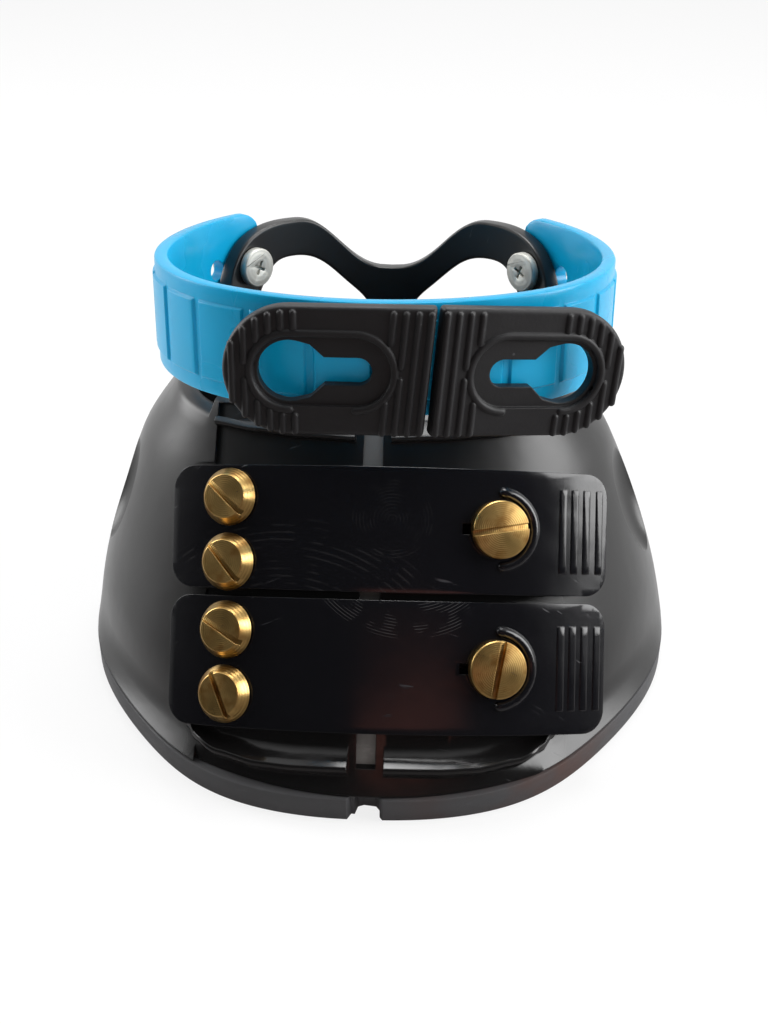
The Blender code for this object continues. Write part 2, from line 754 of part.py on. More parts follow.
def make_band(material):
    half = BAND_HEIGHT / 2
    edge = BAND_EDGE
    count = round(2 * BAND_END_ANGLE / BAND_STEP)
    rings = []
    for index in range(count + 1):
        angle = blend(-BAND_END_ANGLE, BAND_END_ANGLE, index / count)
        corners = [(0, -half + edge), (0, half - edge), (-edge, half), (-BAND_THICKNESS + edge, half)]
        corners += [(-BAND_THICKNESS, half - edge), (-BAND_THICKNESS, -half + edge)]
        corners += [(-BAND_THICKNESS + edge, -half), (-edge, -half)]
        rings.append([band_point(angle, offset, height) for offset, height in corners])
    band = add_object("pastern_band", loft(rings))
    spare_turn = BAND_SPARE_HOLE_PITCH / BACK_RADIUS
    for side in (-1, 1):
        radial_hole(side * BAND_SCREW_ANGLE, BAND_HOLE_DIAMETER, band)
        radial_hole(side * (BAND_SCREW_ANGLE - spare_turn), BAND_SPARE_HOLE_DIAMETER, band)
    return finish(band, material)


def band_screw(name, side, material):
    """The round-headed screw on the inner face of a lobe."""
    seat = -BAND_THICKNESS - GAP - FRAME_THICKNESS - GAP
    radius = BAND_SCREW_HEAD_DIAMETER / 2
    shank = BAND_SCREW_SHANK_DIAMETER / 2
    face = seat - BAND_SCREW_HEAD_HEIGHT
    tip = GAP + BAND_NUT_THICKNESS
    profile = [(0, tip), (shank, tip), (shank, seat), (radius, seat)]
    profile += [(radius, blend(seat, face, 0.35)), (radius * 0.72, face), (0, face)]
    return finish(add_moved(name, turned(profile), radial_matrix(side * BAND_SCREW_ANGLE, 0.0)), material)


def band_nut(name, side, material):
    """The round nut that closes each band screw on the outer face of the band."""
    bore = BAND_SCREW_SHANK_DIAMETER / 2 + GAP
    radius = BAND_NUT_DIAMETER / 2
    top = GAP + BAND_NUT_THICKNESS
    edge = BAND_EDGE
    profile = [(bore, GAP), (radius, GAP), (radius, top - edge), (radius - edge, top), (bore, top)]
    return finish(add_moved(name, turned(profile), radial_matrix(side * BAND_SCREW_ANGLE, 0.0)), material)


# Keyhole tabs

def tab_turns(side):
    """The left tab lies square to the front; the right one follows the band round and hangs a little."""
    return (TAB_RIGHT_YAW, TAB_RIGHT_ROLL) if side > 0 else (0.0, 0.0)


def tab_matrix(side):
    """A frame on a tab's joint: X along the tab, Y inward, Z up its height."""
    place = band_matrix(0.0) @ Matrix.Translation((TAB_JOINT_X, -TAB_LOOP_CLEARANCE, TAB_MIDDLE))
    yaw, roll = tab_turns(side)
    return place @ Matrix.Rotation(yaw, 4, "Z") @ Matrix.Rotation(roll, 4, "Y")


def tab_plate(side):
    """The flat plate, round at its outer end, with its inner end along the slanted joint."""
    end_radius = (TAB_TOP - TAB_BOTTOM) / 2
    end = TAB_LENGTH - end_radius
    outline = []
    for index in range(TAB_END_SEGMENTS + 1):
        angle = blend(-math.pi / 2, math.pi / 2, index / TAB_END_SEGMENTS)
        outline.append((side * (end + end_radius * math.cos(angle)), end_radius * math.sin(angle)))
    slant = math.tan(TAB_JOINT_SLANT - tab_turns(side)[1])
    for height in (end_radius, -end_radius):
        outline.append((side * GAP / 2 + height * slant, height))
    plate = loft([[Vector((x, depth, z)) for x, z in outline] for depth in (0.0, -TAB_PLATE_THICKNESS)])
    return moved(plate, tab_matrix(side))


def keyhole_cutters(side):
    """A round hole toward the outer end and a narrow slot toward the joint."""
    level = TAB_HOLE_LEVEL - TAB_MIDDLE
    slot_end = TAB_SLOT_REACH + TAB_SLOT_WIDTH / 2
    front = tab_matrix(side)
    lay = Matrix.Rotation(math.pi / 2, 4, "X")
    tools = []
    for place, radius in ((TAB_HOLE_REACH, TAB_HOLE_DIAMETER / 2), (slot_end, TAB_SLOT_WIDTH / 2)):
        reach = OVERRUN / 6
        drum = turned([(0, reach), (radius, reach), (radius, -reach), (0, -reach)])
        tools.append(moved(drum, front @ Matrix.Translation((side * place, 0, level)) @ lay))
    length = TAB_HOLE_REACH - slot_end
    centre = (side * (slot_end + length / 2), 0, level)
    tools.append(moved(box((length, OVERRUN / 3, TAB_SLOT_WIDTH), centre), front))
    return tools


def make_tab(name, side, material):
    """A keyhole tab with its keeper loop; it slides along the band's front arc."""
    tab = add_object(name, tab_plate(side))
    angle = TAB_JOINT_ANGLE + side * TAB_LOOP_SPACING / 2
    clear = TAB_LOOP_CLEARANCE
    inside = BAND_THICKNESS + clear
    back = inside + TAB_LOOP_WALL
    yaw = tab_turns(side)[0]
    plane = TAB_JOINT_X * math.sin(yaw) + TAB_PLATE_BACK * math.cos(yaw) + TAB_PLATE_THICKNESS / 2
    front = plane / math.cos(angle - yaw) - BAND_FRONT_RADIUS
    height = BAND_HEIGHT + 2 * (clear + TAB_LOOP_WALL)
    place = band_matrix(angle)
    collar = box((TAB_LOOP_WIDTH, front + back, height), (0, (back - front) / 2, 0))
    slanted = Matrix.Shear("XY", 4, (math.tan(TAB_JOINT_SLANT), 0))
    join(tab, add_moved("collar", collar, place @ slanted))
    hollow = (TAB_LOOP_WIDTH + 2 * GAP, clear + inside, BAND_HEIGHT + 2 * clear)
    window = box(hollow, (0, (inside - clear) / 2, 0))
    cut(tab, add_moved("window", window, place @ slanted))
    for tool in keyhole_cutters(side):
        cut(tab, add_object("keyhole", tool))
    finish(tab, material)
    pivot = band_matrix(0.0)
    pivot.translation = band_world(0.0, BAND_FRONT_RADIUS, 0.0)
    tab.data.transform(pivot.inverted())
    tab.matrix_world = pivot
    return tab


# Heel frame

def frame_top(angle):
    """Height of the frame's top edge: a valley, two crests and rounded shoulders."""
    size = abs(angle)
    if size <= FRAME_CREST_ANGLE:
        return blend(FRAME_VALLEY, FRAME_LOBE_TOP, smootherstep(size / FRAME_CREST_ANGLE))
    share = min(1.0, (size - FRAME_CREST_ANGLE) / (FRAME_HALF_ANGLE - FRAME_CREST_ANGLE))
    rise = (1 - share**FRAME_SHOULDER_POWER) ** (1 / FRAME_SHOULDER_POWER)
    return FRAME_LOBE_TOP - FRAME_SHOULDER_DROP * (1 - rise)


def frame_holds(angle, height):
    return 0 <= angle <= FRAME_HALF_ANGLE and FRAME_FOOT <= height <= frame_top(angle)


def window_holds(angle, height):
    """Whether a point is in the window, clear of the stem, the rail and the band screw."""
    if not FRAME_WINDOW_BOTTOM <= height <= frame_top(angle) - FRAME_RAIL:
        return False
    if not FRAME_STEM_HALF_WIDTH <= angle * BACK_RADIUS <= FRAME_WINDOW_LIMIT * BACK_RADIUS:
        return False
    aside = (angle - (math.pi - BAND_SCREW_ANGLE)) * BACK_RADIUS
    return math.hypot(aside, height) >= FRAME_SCREW_MARGIN


def farthest(start, ray, holds):
    """The last point from start along a ray that a test still holds."""
    near, far = 0.0, 1.0
    for _ in range(40):
        middle = (near + far) / 2
        probe = start + ray * middle
        if holds(probe.x, probe.y):
            near = middle
        else:
            far = middle
    return start + ray * near


def frame_directions():
    """Directions from a window's centre: even steps, and one to each corner of the lobe."""
    centre = Vector((FRAME_WINDOW_ANGLE * BACK_RADIUS, FRAME_WINDOW_CENTRE))
    reach = FRAME_HALF_ANGLE * BACK_RADIUS
    corners = [(0, FRAME_VALLEY), (0, FRAME_FOOT), (reach, FRAME_FOOT)]
    turns = [math.tau * index / FRAME_RAYS for index in range(FRAME_RAYS)]
    for x, y in corners:
        turn = math.atan2(y - centre.y, x - centre.x) % math.tau
        nearest = min(range(len(turns)), key=lambda index: abs(turns[index] - turn))
        turns[nearest] = turn
    return turns


def lobe_sheet(builder):
    """Flat sheet of one lobe, in (angle, height), as courses between window and outline."""
    start = Vector((FRAME_WINDOW_ANGLE, FRAME_WINDOW_CENTRE))
    reach = OVERRUN * 2
    rays = [Vector((math.cos(turn) / BACK_RADIUS, math.sin(turn))) * reach for turn in frame_directions()]
    outline = [farthest(start, ray, frame_holds) for ray in rays]
    window = [farthest(start, ray, window_holds) for ray in rays]
    for _ in range(FRAME_WINDOW_ROUNDING):
        around = zip(window[-1:] + window[:-1], window, window[1:] + window[:1])
        window = [(before + 2 * point + after) / 4 for before, point, after in around]
    columns = []
    for inner, outer in zip(window, outline):
        if outer.x * BACK_RADIUS < GAP / 10:
            outer.x = 0.0
        column = []
        for course in range(FRAME_COURSES + 1):
            point = inner.lerp(outer, course / FRAME_COURSES)
            column.append(builder.verts.new((point.x, point.y, 0)))
        columns.append(column)
    count = len(columns)
    for index in range(count):
        here, there = columns[index], columns[(index + 1) % count]
        for course in range(FRAME_COURSES):
            corners = (here[course], here[course + 1], there[course + 1], there[course])
            builder.faces.new(corners)


def frame_world(angle, height, depth):
    """Bends the flat sheet: round the band's axis above, flaring out to the shell's rim below."""
    radius = BACK_RADIUS - BAND_THICKNESS - GAP - depth
    upper = band_world(radius * math.sin(angle), BACK_CENTRE + radius * math.cos(angle), height)
    turn = math.pi - angle * FRAME_FOOT_HALF_ANGLE / FRAME_HALF_ANGLE
    foot = foot_z(turn)
    lower = shell_point(turn, foot, depth)
    lower += BAND_AXIS * (height - FRAME_FOOT)
    share = (FRAME_FLARE_START - height) / (FRAME_FLARE_START - FRAME_FOOT)
    return upper.lerp(lower, smoothstep(share))


def make_heel_frame(material):
    builder = bmesh.new()
    lobe_sheet(builder)
    mirrored = bmesh.ops.duplicate(builder, geom=builder.verts[:] + builder.edges[:] + builder.faces[:])
    copies = [item for item in mirrored["geom"] if isinstance(item, bmesh.types.BMVert)]
    bmesh.ops.scale(builder, vec=(-1, 1, 1), verts=copies)
    bmesh.ops.remove_doubles(builder, verts=builder.verts, dist=GAP / 100)
    bmesh.ops.recalc_face_normals(builder, faces=builder.faces)
    grown = bmesh.ops.extrude_face_region(builder, geom=builder.faces[:])
    for item in grown["geom"]:
        if isinstance(item, bmesh.types.BMVert):
            item.co.z = FRAME_THICKNESS
    for vertex in builder.verts:
        vertex.co = frame_world(vertex.co.x, vertex.co.y, vertex.co.z)
    frame = add_object("heel_frame", builder)
    for side in (-1, 1):
        radial_hole(side * BAND_SCREW_ANGLE, BAND_HOLE_DIAMETER, frame)
    return finish(frame, material)


def build():
    clear_scene()
    gloss_black = principled("gloss_black_shell", (0.012, 0.012, 0.013), 0.22)
    sole_grey = principled("outsole_grey", (0.10, 0.10, 0.105), 0.55)
    strap_black = principled("strap_rubber", (0.014, 0.014, 0.017), 0.38)
    tab_black = principled("tab_rubber", (0.018, 0.018, 0.019), 0.62)
    sky_blue = principled("band_blue", (0.0, 0.42, 0.78), 0.28)
    brass = principled("brass", (0.78, 0.55, 0.20), 0.28, 1.0)
    zinc = principled("zinc_steel", (0.60, 0.60, 0.60), 0.42, 1.0)
    make_shell(gloss_black)
    make_outsole(sole_grey)
    make_heel_frame(gloss_black)
    make_band(sky_blue)
    strap_anchor("upper_strap_anchor", UPPER_STRAP_LOW, UPPER_STRAP_HIGH, UPPER_SCREWS, strap_black)
    strap_anchor("lower_strap_anchor", LOWER_STRAP_LOW, LOWER_STRAP_HIGH, LOWER_SCREWS, strap_black)
    strap_flap("upper_strap_flap", UPPER_STRAP_LOW, UPPER_STRAP_HIGH, UPPER_KNOB_ALONG, strap_black)
    strap_flap("lower_strap_flap", LOWER_STRAP_LOW, LOWER_STRAP_HIGH, LOWER_KNOB_ALONG, strap_black)
    for index, along in enumerate(UPPER_SCREWS + LOWER_SCREWS):
        strap_screw(f"strap_screw_{index + 1}", along, SCREW_SLOT_TURNS[index], brass)
        threaded_insert(f"screw_insert_{index + 1}", SCREW_ACROSS, along, brass)
    strap_knob("upper_knob", UPPER_KNOB_ALONG, UPPER_KNOB_TURN, brass)
    strap_knob("lower_knob", LOWER_KNOB_ALONG, LOWER_KNOB_TURN, brass)
    threaded_insert("upper_knob_insert", KNOB_ACROSS, UPPER_KNOB_ALONG, brass)
    threaded_insert("lower_knob_insert", KNOB_ACROSS, LOWER_KNOB_ALONG, brass)
    for word, side in (("left", -1), ("right", 1)):
        band_screw(f"band_screw_{word}", side, zinc)
        band_nut(f"band_nut_{word}", side, zinc)
        make_tab(f"{word}_tab", side, tab_black)


build()
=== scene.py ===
"""Horse hoof boot: the shown pieces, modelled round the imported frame.

Toe toward -Y, ground at Z = 0, metres.
"""

import math

import bpy
from mathutils import Matrix, Vector


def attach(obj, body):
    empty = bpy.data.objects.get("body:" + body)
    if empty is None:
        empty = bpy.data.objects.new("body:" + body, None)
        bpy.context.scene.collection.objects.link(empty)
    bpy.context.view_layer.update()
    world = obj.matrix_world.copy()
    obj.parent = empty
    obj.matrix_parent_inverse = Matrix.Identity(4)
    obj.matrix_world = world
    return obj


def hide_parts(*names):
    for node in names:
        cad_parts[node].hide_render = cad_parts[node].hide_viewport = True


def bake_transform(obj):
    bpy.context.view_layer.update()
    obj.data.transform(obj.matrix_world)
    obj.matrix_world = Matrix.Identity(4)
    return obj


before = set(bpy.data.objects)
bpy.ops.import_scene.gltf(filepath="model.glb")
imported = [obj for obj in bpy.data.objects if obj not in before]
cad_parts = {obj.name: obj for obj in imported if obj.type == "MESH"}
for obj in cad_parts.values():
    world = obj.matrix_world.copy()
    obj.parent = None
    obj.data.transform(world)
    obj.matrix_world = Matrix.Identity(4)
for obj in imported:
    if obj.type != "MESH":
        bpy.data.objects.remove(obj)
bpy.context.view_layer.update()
bpy.context.scene.view_settings.view_transform = "Standard"

GAP = 0.0003
MERGE = 0.000002
OVERRUN = 0.01

# Sole and shell
SOLE_HALF_WIDTH = 0.066
SOLE_HALF_LENGTH = 0.062
SOLE_THICKNESS = 0.0055
SHELL_STEP = 0.0003
SHELL_TOP_Z = 0.070
SHELL_TOP_HALF_WIDTH = 0.049
SHELL_LOW_CENTRE_Y = 0.0035
SHELL_TOP_CENTRE_Y = 0.014
SHELL_SHIFT = -0.0012
SHELL_LEAN = -0.020
FLARE_AT_GROUND = 0.0028
FLARE_SLOPE = 0.110
FLARE_CURVE = -3.14
FLARE_ANGLE = 1.83
FLARE_SPREAD = 0.73
TOE_CORNER_CUT = 0.0050
TOE_CORNER_ANGLE = 0.93
TOE_CORNER_SPREAD = 0.45
TOE_CORNER_HEIGHT = 0.024
RIM_TUCK = 0.0032
RIM_TUCK_START_Z = 0.052
RIM_TUCK_HEIGHT = 0.016
RIM_TUCK_ANGLE = 1.5
RIM_TUCK_SPREAD = 0.5
SIDE_FADE = 5
SHELL_TOP_BACK_Y = 0.044
SHELL_WALL = 0.0042
SHELL_FLOOR = 0.0040
SHELL_RIM_ROUND = 0.0012
TOE_SLOPE = math.radians(55)
SOLE_SQUARENESS = 2.3
WALL_SQUARENESS = 2.0
SQUARE_TOE_HEIGHT = 0.0045
RIM_SIDE_Z = 0.0668
RIM_STEP_ANGLE = math.radians(45)
RIM_DROP_START = math.radians(93)
RIM_DROP_END = math.radians(103)
SLIT_WIDTH = 0.0040
SLIT_CENTRE = -0.0013
SLIT_BOTTOM_Z = 0.0105
SLIT_CUT_LENGTH = 0.1
SLIT_CUT_Y = -0.06
PANEL_RADIUS = 0.090
PANEL_DEPTH = 0.0005
PANEL_FROM = -0.0015
PANEL_TO = 0.0820
PANEL_HALF_WIDTH_LOW = 0.0400
PANEL_HALF_WIDTH_HIGH = 0.0358
STRAP_BED_FROM = 0.0133
STRAP_BED_TO = 0.0694
STRAP_BED_MARGIN = 0.0008
STRAP_BED_DEPTH = 0.0001
LIP_START = 0.0037
LIP_ROOT = -0.0030
LIP_FOOT = -0.0009
LIP_LOW_EDGE = (
    (0.0, 0.0048), (0.015, 0.0048), (0.0225, 0.0052),
    (0.0315, 0.0070), (0.0375, 0.0098), (0.040, 0.0128),
)
LIP_LOW_END = 0.0405
LIP_LOW_RISE = 0.0024
LIP_LOW_FADE_END = 0.0415
LIP_LOW_FADE = 0.008
GUTTER_END = 0.0146
GUTTER_DEPTH = 0.0006
LIP_HIGH_EDGE = ((0.0, 0.0735), (0.015, 0.0743), (0.025, 0.0755), (0.0345, 0.0772))
LIP_HIGH_END = 0.0343
LIP_HIGH_TOP = 0.0783
POCKET_CENTRE_Z = 0.0385
POCKET_AZIMUTH = math.radians(84)
POCKET_SIZE = (0.0105, 0.0150, 0.0060)
POCKET_DEPTH = 0.0024

# Straps, screws and knobs, placed across and along the sloping front
STRAP_LEFT = -0.0441
STRAP_RIGHT = 0.0490
STRAP_BACK = -0.0005
STRAP_FRONT = 0.0031
STRAP_ROWS = {"upper": (0.0429, 0.0686), "lower": (0.0141, 0.0413)}
SCREW_ACROSS = -0.0305
SCREW_ALONG = (0.0619, 0.0484, 0.0343, 0.0210)
SCREW_TURNS = (-42, -48, -30, -66)
KNOB_ACROSS = 0.0243
KNOB_ALONG = {"upper": 0.0563, "lower": 0.0277}
KNOB_TURNS = {"upper": 9, "lower": 80}
INSERT_SEAT = -0.0034
FLANGE_BORE_RADIUS = 0.0060
INSERT_BORE_RADIUS = 0.0042
HEAD_SEAT = 0.0034
HEAD_RADIUS = 0.0060
SHANK_TIP = -0.0048

# Band, tabs and heel frame, placed on the leaning ring
BAND_LEAN = math.radians(8.5)
BAND_ORIGIN = Vector((0, -0.038, 0.094))
BAND_AXIS = Vector((0, math.sin(BAND_LEAN), math.cos(BAND_LEAN)))
BAND_BACKWARD = Vector((0, math.cos(BAND_LEAN), -math.sin(BAND_LEAN)))
BAND_THICKNESS = 0.0028
BAND_HEIGHT = 0.022
BAND_FRONT_RADIUS = 0.058
BAND_FRONT_ANGLE = math.radians(30)
BAND_CORNER_RADIUS = 0.037
BAND_END_ANGLE = math.radians(137.5)
BAND_SCREW_ANGLE = math.radians(130.5)
CORNER_OFFSET = BAND_FRONT_RADIUS - BAND_CORNER_RADIUS
CORNER_X = CORNER_OFFSET * math.sin(BAND_FRONT_ANGLE)
BACK_CENTRE = BAND_FRONT_RADIUS - CORNER_OFFSET * math.cos(BAND_FRONT_ANGLE)
BACK_RADIUS = CORNER_X + BAND_CORNER_RADIUS
TAB_JOINT_ANGLE = 0.01043 / BAND_FRONT_RADIUS
TAB_LOOP_SPACING = 0.00719 / BAND_FRONT_RADIUS
TAB_LOOP_WIDTH = 0.0060
TAB_LOOP_WALL = 0.0009
TAB_LOOP_CLEARANCE = 0.0003
TAB_PLATE_THICKNESS = 0.0030
TAB_TOP = 0.0111
TAB_BOTTOM = -0.0138
TAB_LENGTH = 0.0385
TAB_JOINT_SLANT = math.radians(5.2)
TAB_TURNS = {-1: (0.0, 0.0), 1: (math.radians(20), math.radians(5.6))}
TAB_HOLE_REACH = 0.0261
TAB_HOLE_LEVEL = -0.0014
TAB_HOLE_RADIUS = 0.0059
TAB_SLOT_REACH = 0.0108
TAB_SLOT_HALF = 0.0027
TAB_MIDDLE = (TAB_TOP + TAB_BOTTOM) / 2
TAB_END_RADIUS = (TAB_TOP - TAB_BOTTOM) / 2
TAB_PLATE_BACK = BAND_FRONT_RADIUS + TAB_LOOP_CLEARANCE
TAB_JOINT_X = TAB_PLATE_BACK * math.sin(TAB_JOINT_ANGLE)
FRAME_THICKNESS = 0.0036
FRAME_HALF_ANGLE = math.radians(62)
FRAME_LOBE_TOP = 0.0090
FRAME_VALLEY = -0.0035
FRAME_CREST_ANGLE = math.radians(33)
FRAME_SHOULDER_DROP = 0.0220
FRAME_SHOULDER_POWER = 2.5
FRAME_FOOT = -0.0400
FRAME_FLARE_START = -0.0120
FRAME_WINDOW_ANGLE = math.radians(28.5)
FRAME_WINDOW_CENTRE = -0.0130
FRAME_WINDOW_LIMIT = math.radians(48)
FRAME_WINDOW_BOTTOM = -0.0278
FRAME_RAIL = 0.0083
FRAME_STEM_HALF_WIDTH = 0.0050
FRAME_SCREW_MARGIN = 0.0062
FRAME_FOOT_HALF_ANGLE = math.radians(71)


def blend(first, second, share):
    return first + (second - first) * share


def smoothstep(share):
    held = max(0.0, min(1.0, share))
    return held * held * (3.0 - 2.0 * held)


def power(value, exponent):
    return math.copysign(abs(value) ** exponent, value)


# Places on the shell, the front wall and the band

def shell_point(angle, z, inset=0.0):
    """A point of the shell wall; angle 0 is the toe and half a turn the heel."""
    share = (z - SOLE_THICKNESS) / (SHELL_TOP_Z - SOLE_THICKNESS)
    centre_y = blend(SHELL_LOW_CENTRE_Y, SHELL_TOP_CENTRE_Y, share)
    half_width = blend(SOLE_HALF_WIDTH, SHELL_TOP_HALF_WIDTH, share) - inset
    front_y = -SOLE_HALF_LENGTH + (z - SOLE_THICKNESS) / math.tan(TOE_SLOPE)
    front = centre_y - front_y - inset / math.sin(TOE_SLOPE)
    back = blend(SOLE_HALF_LENGTH, SHELL_TOP_BACK_Y, share) - centre_y - inset
    forward = math.cos(angle)
    squareness = WALL_SQUARENESS
    if forward > 0:
        above = smoothstep((z - SOLE_THICKNESS) / SQUARE_TOE_HEIGHT)
        squareness = blend(SOLE_SQUARENESS, WALL_SQUARENESS, above)
    length = front if forward > 0 else back
    size = abs((angle + math.pi) % math.tau - math.pi)
    flare = FLARE_AT_GROUND + FLARE_SLOPE * z + FLARE_CURVE * z * z
    flare *= math.exp(-(((size - FLARE_ANGLE) / FLARE_SPREAD) ** 2))
    corner = TOE_CORNER_CUT * (1 - smoothstep(z / TOE_CORNER_HEIGHT))
    corner *= math.exp(-(((size - TOE_CORNER_ANGLE) / TOE_CORNER_SPREAD) ** 2))
    sideways = math.sin(angle)
    tuck = RIM_TUCK * smoothstep((z - RIM_TUCK_START_Z) / RIM_TUCK_HEIGHT)
    tuck *= math.exp(-(((size - RIM_TUCK_ANGLE) / RIM_TUCK_SPREAD) ** 2))
    wider = (flare - corner - tuck) * smoothstep(abs(sideways) * SIDE_FADE) * math.copysign(1, sideways)
    x = half_width * power(sideways, 2.0 / squareness) + wider + SHELL_SHIFT + SHELL_LEAN * z
    return Vector((x, centre_y - length * power(forward, 2.0 / squareness), z))


def wall_point(across, along, lift):
    """A point on the sloping front: across it, up its slope and lifted off it."""
    angle = across / PANEL_RADIUS
    x = (PANEL_RADIUS + lift) * math.sin(angle)
    out = (PANEL_RADIUS + lift) * math.cos(angle) - PANEL_RADIUS
    y = -SOLE_HALF_LENGTH + along * math.cos(TOE_SLOPE) - out * math.sin(TOE_SLOPE)
    return Vector((x, y, SOLE_THICKNESS + along * math.sin(TOE_SLOPE) + out * math.cos(TOE_SLOPE)))


def wall_frame(across, along, turn=0.0):
    """A frame on the front wall with Z outward, turned about that."""
    angle = across / PANEL_RADIUS
    upward = Vector((0, math.cos(TOE_SLOPE), math.sin(TOE_SLOPE)))
    front = Vector((0, -math.sin(TOE_SLOPE), math.cos(TOE_SLOPE)))
    outward = Vector((1, 0, 0)) * math.sin(angle) + front * math.cos(angle)
    rows = Matrix((upward.cross(outward), upward, outward)).transposed().to_4x4()
    rows.translation = wall_point(across, along, 0.0)
    return rows @ Matrix.Rotation(math.radians(turn), 4, "Z")


def band_world(x, backward, height):
    return BAND_ORIGIN + Vector((x, 0, 0)) + BAND_BACKWARD * backward + BAND_AXIS * height


def band_point(angle, offset, height):
    """A point at an offset from the band's outer face; angle 0 is the front."""
    size = abs(angle)
    centre_x, centre_y, radius = 0.0, BACK_CENTRE, BACK_RADIUS
    if size <= BAND_FRONT_ANGLE:
        centre_y, radius = BAND_FRONT_RADIUS, BAND_FRONT_RADIUS
    elif size <= math.pi / 2:
        centre_x, radius = CORNER_X, BAND_CORNER_RADIUS
    x = math.copysign(1.0, angle) * (centre_x + (radius + offset) * math.sin(size))
    return band_world(x, centre_y - (radius + offset) * math.cos(size), height)


def band_frame(angle):
    """A frame on the band: X along it, Y its inward normal, Z its axis."""
    inward = (band_point(angle, 0.0, 0.0) - band_point(angle, GAP, 0.0)).normalized()
    rows = Matrix((inward.cross(BAND_AXIS), inward, BAND_AXIS)).transposed().to_4x4()
    rows.translation = band_point(angle, 0.0, 0.0)
    return rows


def outward_frame(angle):
    """A frame on the band whose Z is its outward normal."""
    return band_frame(angle) @ Matrix.Rotation(math.pi / 2, 4, "X")


def foot_z(angle):
    """Height of the wall where the heel frame stands on it."""
    z = SHELL_TOP_Z
    for _ in range(6):
        drop = FRAME_FOOT - (shell_point(angle, z).y - BAND_ORIGIN.y) * math.sin(BAND_LEAN)
        z = BAND_ORIGIN.z + drop / math.cos(BAND_LEAN)
    return z


def rim_z(angle):
    turn = abs((angle + math.pi) % math.tau - math.pi)
    if turn <= RIM_STEP_ANGLE:
        return SHELL_TOP_Z
    share = (turn - RIM_DROP_START) / (RIM_DROP_END - RIM_DROP_START)
    return blend(RIM_SIDE_Z, foot_z(angle) - GAP, smoothstep(share))


# Modelling steps

def only(piece):
    bpy.ops.object.select_all(action="DESELECT")
    piece.select_set(True)
    bpy.context.view_layer.objects.active = piece


def apply_modifier(piece, kind, **settings):
    only(piece)
    modifier = piece.modifiers.new(kind.title(), kind)
    for setting, value in settings.items():
        setattr(modifier, setting, value)
    bpy.ops.object.modifier_apply(modifier=modifier.name)


def cut(target, tool, operation="DIFFERENCE"):
    apply_modifier(target, "BOOLEAN", object=tool, operation=operation, solver="MANIFOLD")
    bpy.data.objects.remove(tool)


def close(piece):
    """Merges doubled points and turns every face outward."""
    only(piece)
    bpy.ops.object.mode_set(mode="EDIT")
    bpy.ops.mesh.select_all(action="SELECT")
    bpy.ops.mesh.remove_doubles(threshold=MERGE)
    bpy.ops.mesh.normals_make_consistent(inside=False)
    bpy.ops.object.mode_set(mode="OBJECT")
    return piece


def settle(piece, matrix):
    """Puts a piece modelled at the origin in its place, with the place in its mesh."""
    piece.data.transform(matrix)
    return piece


def grid_sheet(name, columns, rows, place):
    """A primitive grid whose points are set from their two shares, then closed."""
    bpy.ops.object.select_all(action="DESELECT")
    bpy.ops.mesh.primitive_grid_add(x_subdivisions=columns, y_subdivisions=rows, size=1)
    piece = bpy.context.object
    piece.name = name
    for vertex in piece.data.vertices:
        vertex.co = place(round((vertex.co.x + 0.5) * columns), round((vertex.co.y + 0.5) * rows))
    return close(piece)


def turned(name, profile, steps=72):
    """A circle drawn out along a profile of (radius, height) points, closed at both ends."""
    bpy.ops.object.select_all(action="DESELECT")
    radius, height = profile[0]
    bpy.ops.mesh.primitive_circle_add(vertices=steps, radius=radius, fill_type="NGON")
    piece = bpy.context.object
    piece.name = name
    bpy.ops.object.mode_set(mode="EDIT")
    bpy.ops.mesh.select_all(action="SELECT")
    bpy.ops.transform.translate(value=(0, 0, height))
    for wider, higher in profile[1:]:
        rise = {"value": (0, 0, higher - height)}
        bpy.ops.mesh.extrude_region_move(TRANSFORM_OT_translate=rise)
        share = wider / radius
        bpy.ops.transform.resize(value=(share, share, 1), center_override=(0, 0, higher))
        radius, height = wider, higher
    bpy.ops.object.mode_set(mode="OBJECT")
    return close(piece)


def drill(radius):
    """A round cutter along Z that reaches past both faces of what it goes through."""
    return turned("drill", [(radius, -OVERRUN), (radius, OVERRUN)], 48)


def block(name, size, centre=(0, 0, 0)):
    bpy.ops.object.select_all(action="DESELECT")
    bpy.ops.mesh.primitive_cube_add(size=1)
    piece = bpy.context.object
    piece.name = name
    return settle(piece, Matrix.Translation(centre) @ Matrix.Diagonal((*size, 1)))


def outline_prism(name, outline, low, high):
    """A flat outline of (x, y) points drawn up into a prism."""
    bpy.ops.object.select_all(action="DESELECT")
    bpy.ops.mesh.primitive_circle_add(vertices=len(outline), fill_type="NGON")
    piece = bpy.context.object
    piece.name = name
    for vertex, (x, y) in zip(piece.data.vertices, outline):
        vertex.co = (x, y, low)
    bpy.ops.object.mode_set(mode="EDIT")
    bpy.ops.mesh.select_all(action="SELECT")
    bpy.ops.mesh.extrude_region_move(TRANSFORM_OT_translate={"value": (0, 0, high - low)})
    bpy.ops.object.mode_set(mode="OBJECT")
    return close(piece)


def bead(name, points, radius, ups, sides=12):
    """A round bead with round ends along points, each with its own up direction."""
    caps = (0.0, 0.5, 0.87)
    steps = [(0, -1, share) for share in caps]
    steps += [(index, 0, 1.0) for index in range(len(points))]
    steps += [(len(points) - 1, 1, share) for share in reversed(caps)]
    last = len(points) - 1

    def place(column, row):
        index, end, share = steps[column]
        along = (points[min(index + 1, last)] - points[max(index - 1, 0)]).normalized()
        side = along.cross(ups[index]).normalized()
        up = side.cross(along)
        angle = math.tau * row / sides
        centre = points[index] + along * end * radius * math.sqrt(1 - share * share)
        return centre + (side * math.cos(angle) + up * math.sin(angle)) * radius * share

    return grid_sheet(name, len(steps) - 1, sides, place)


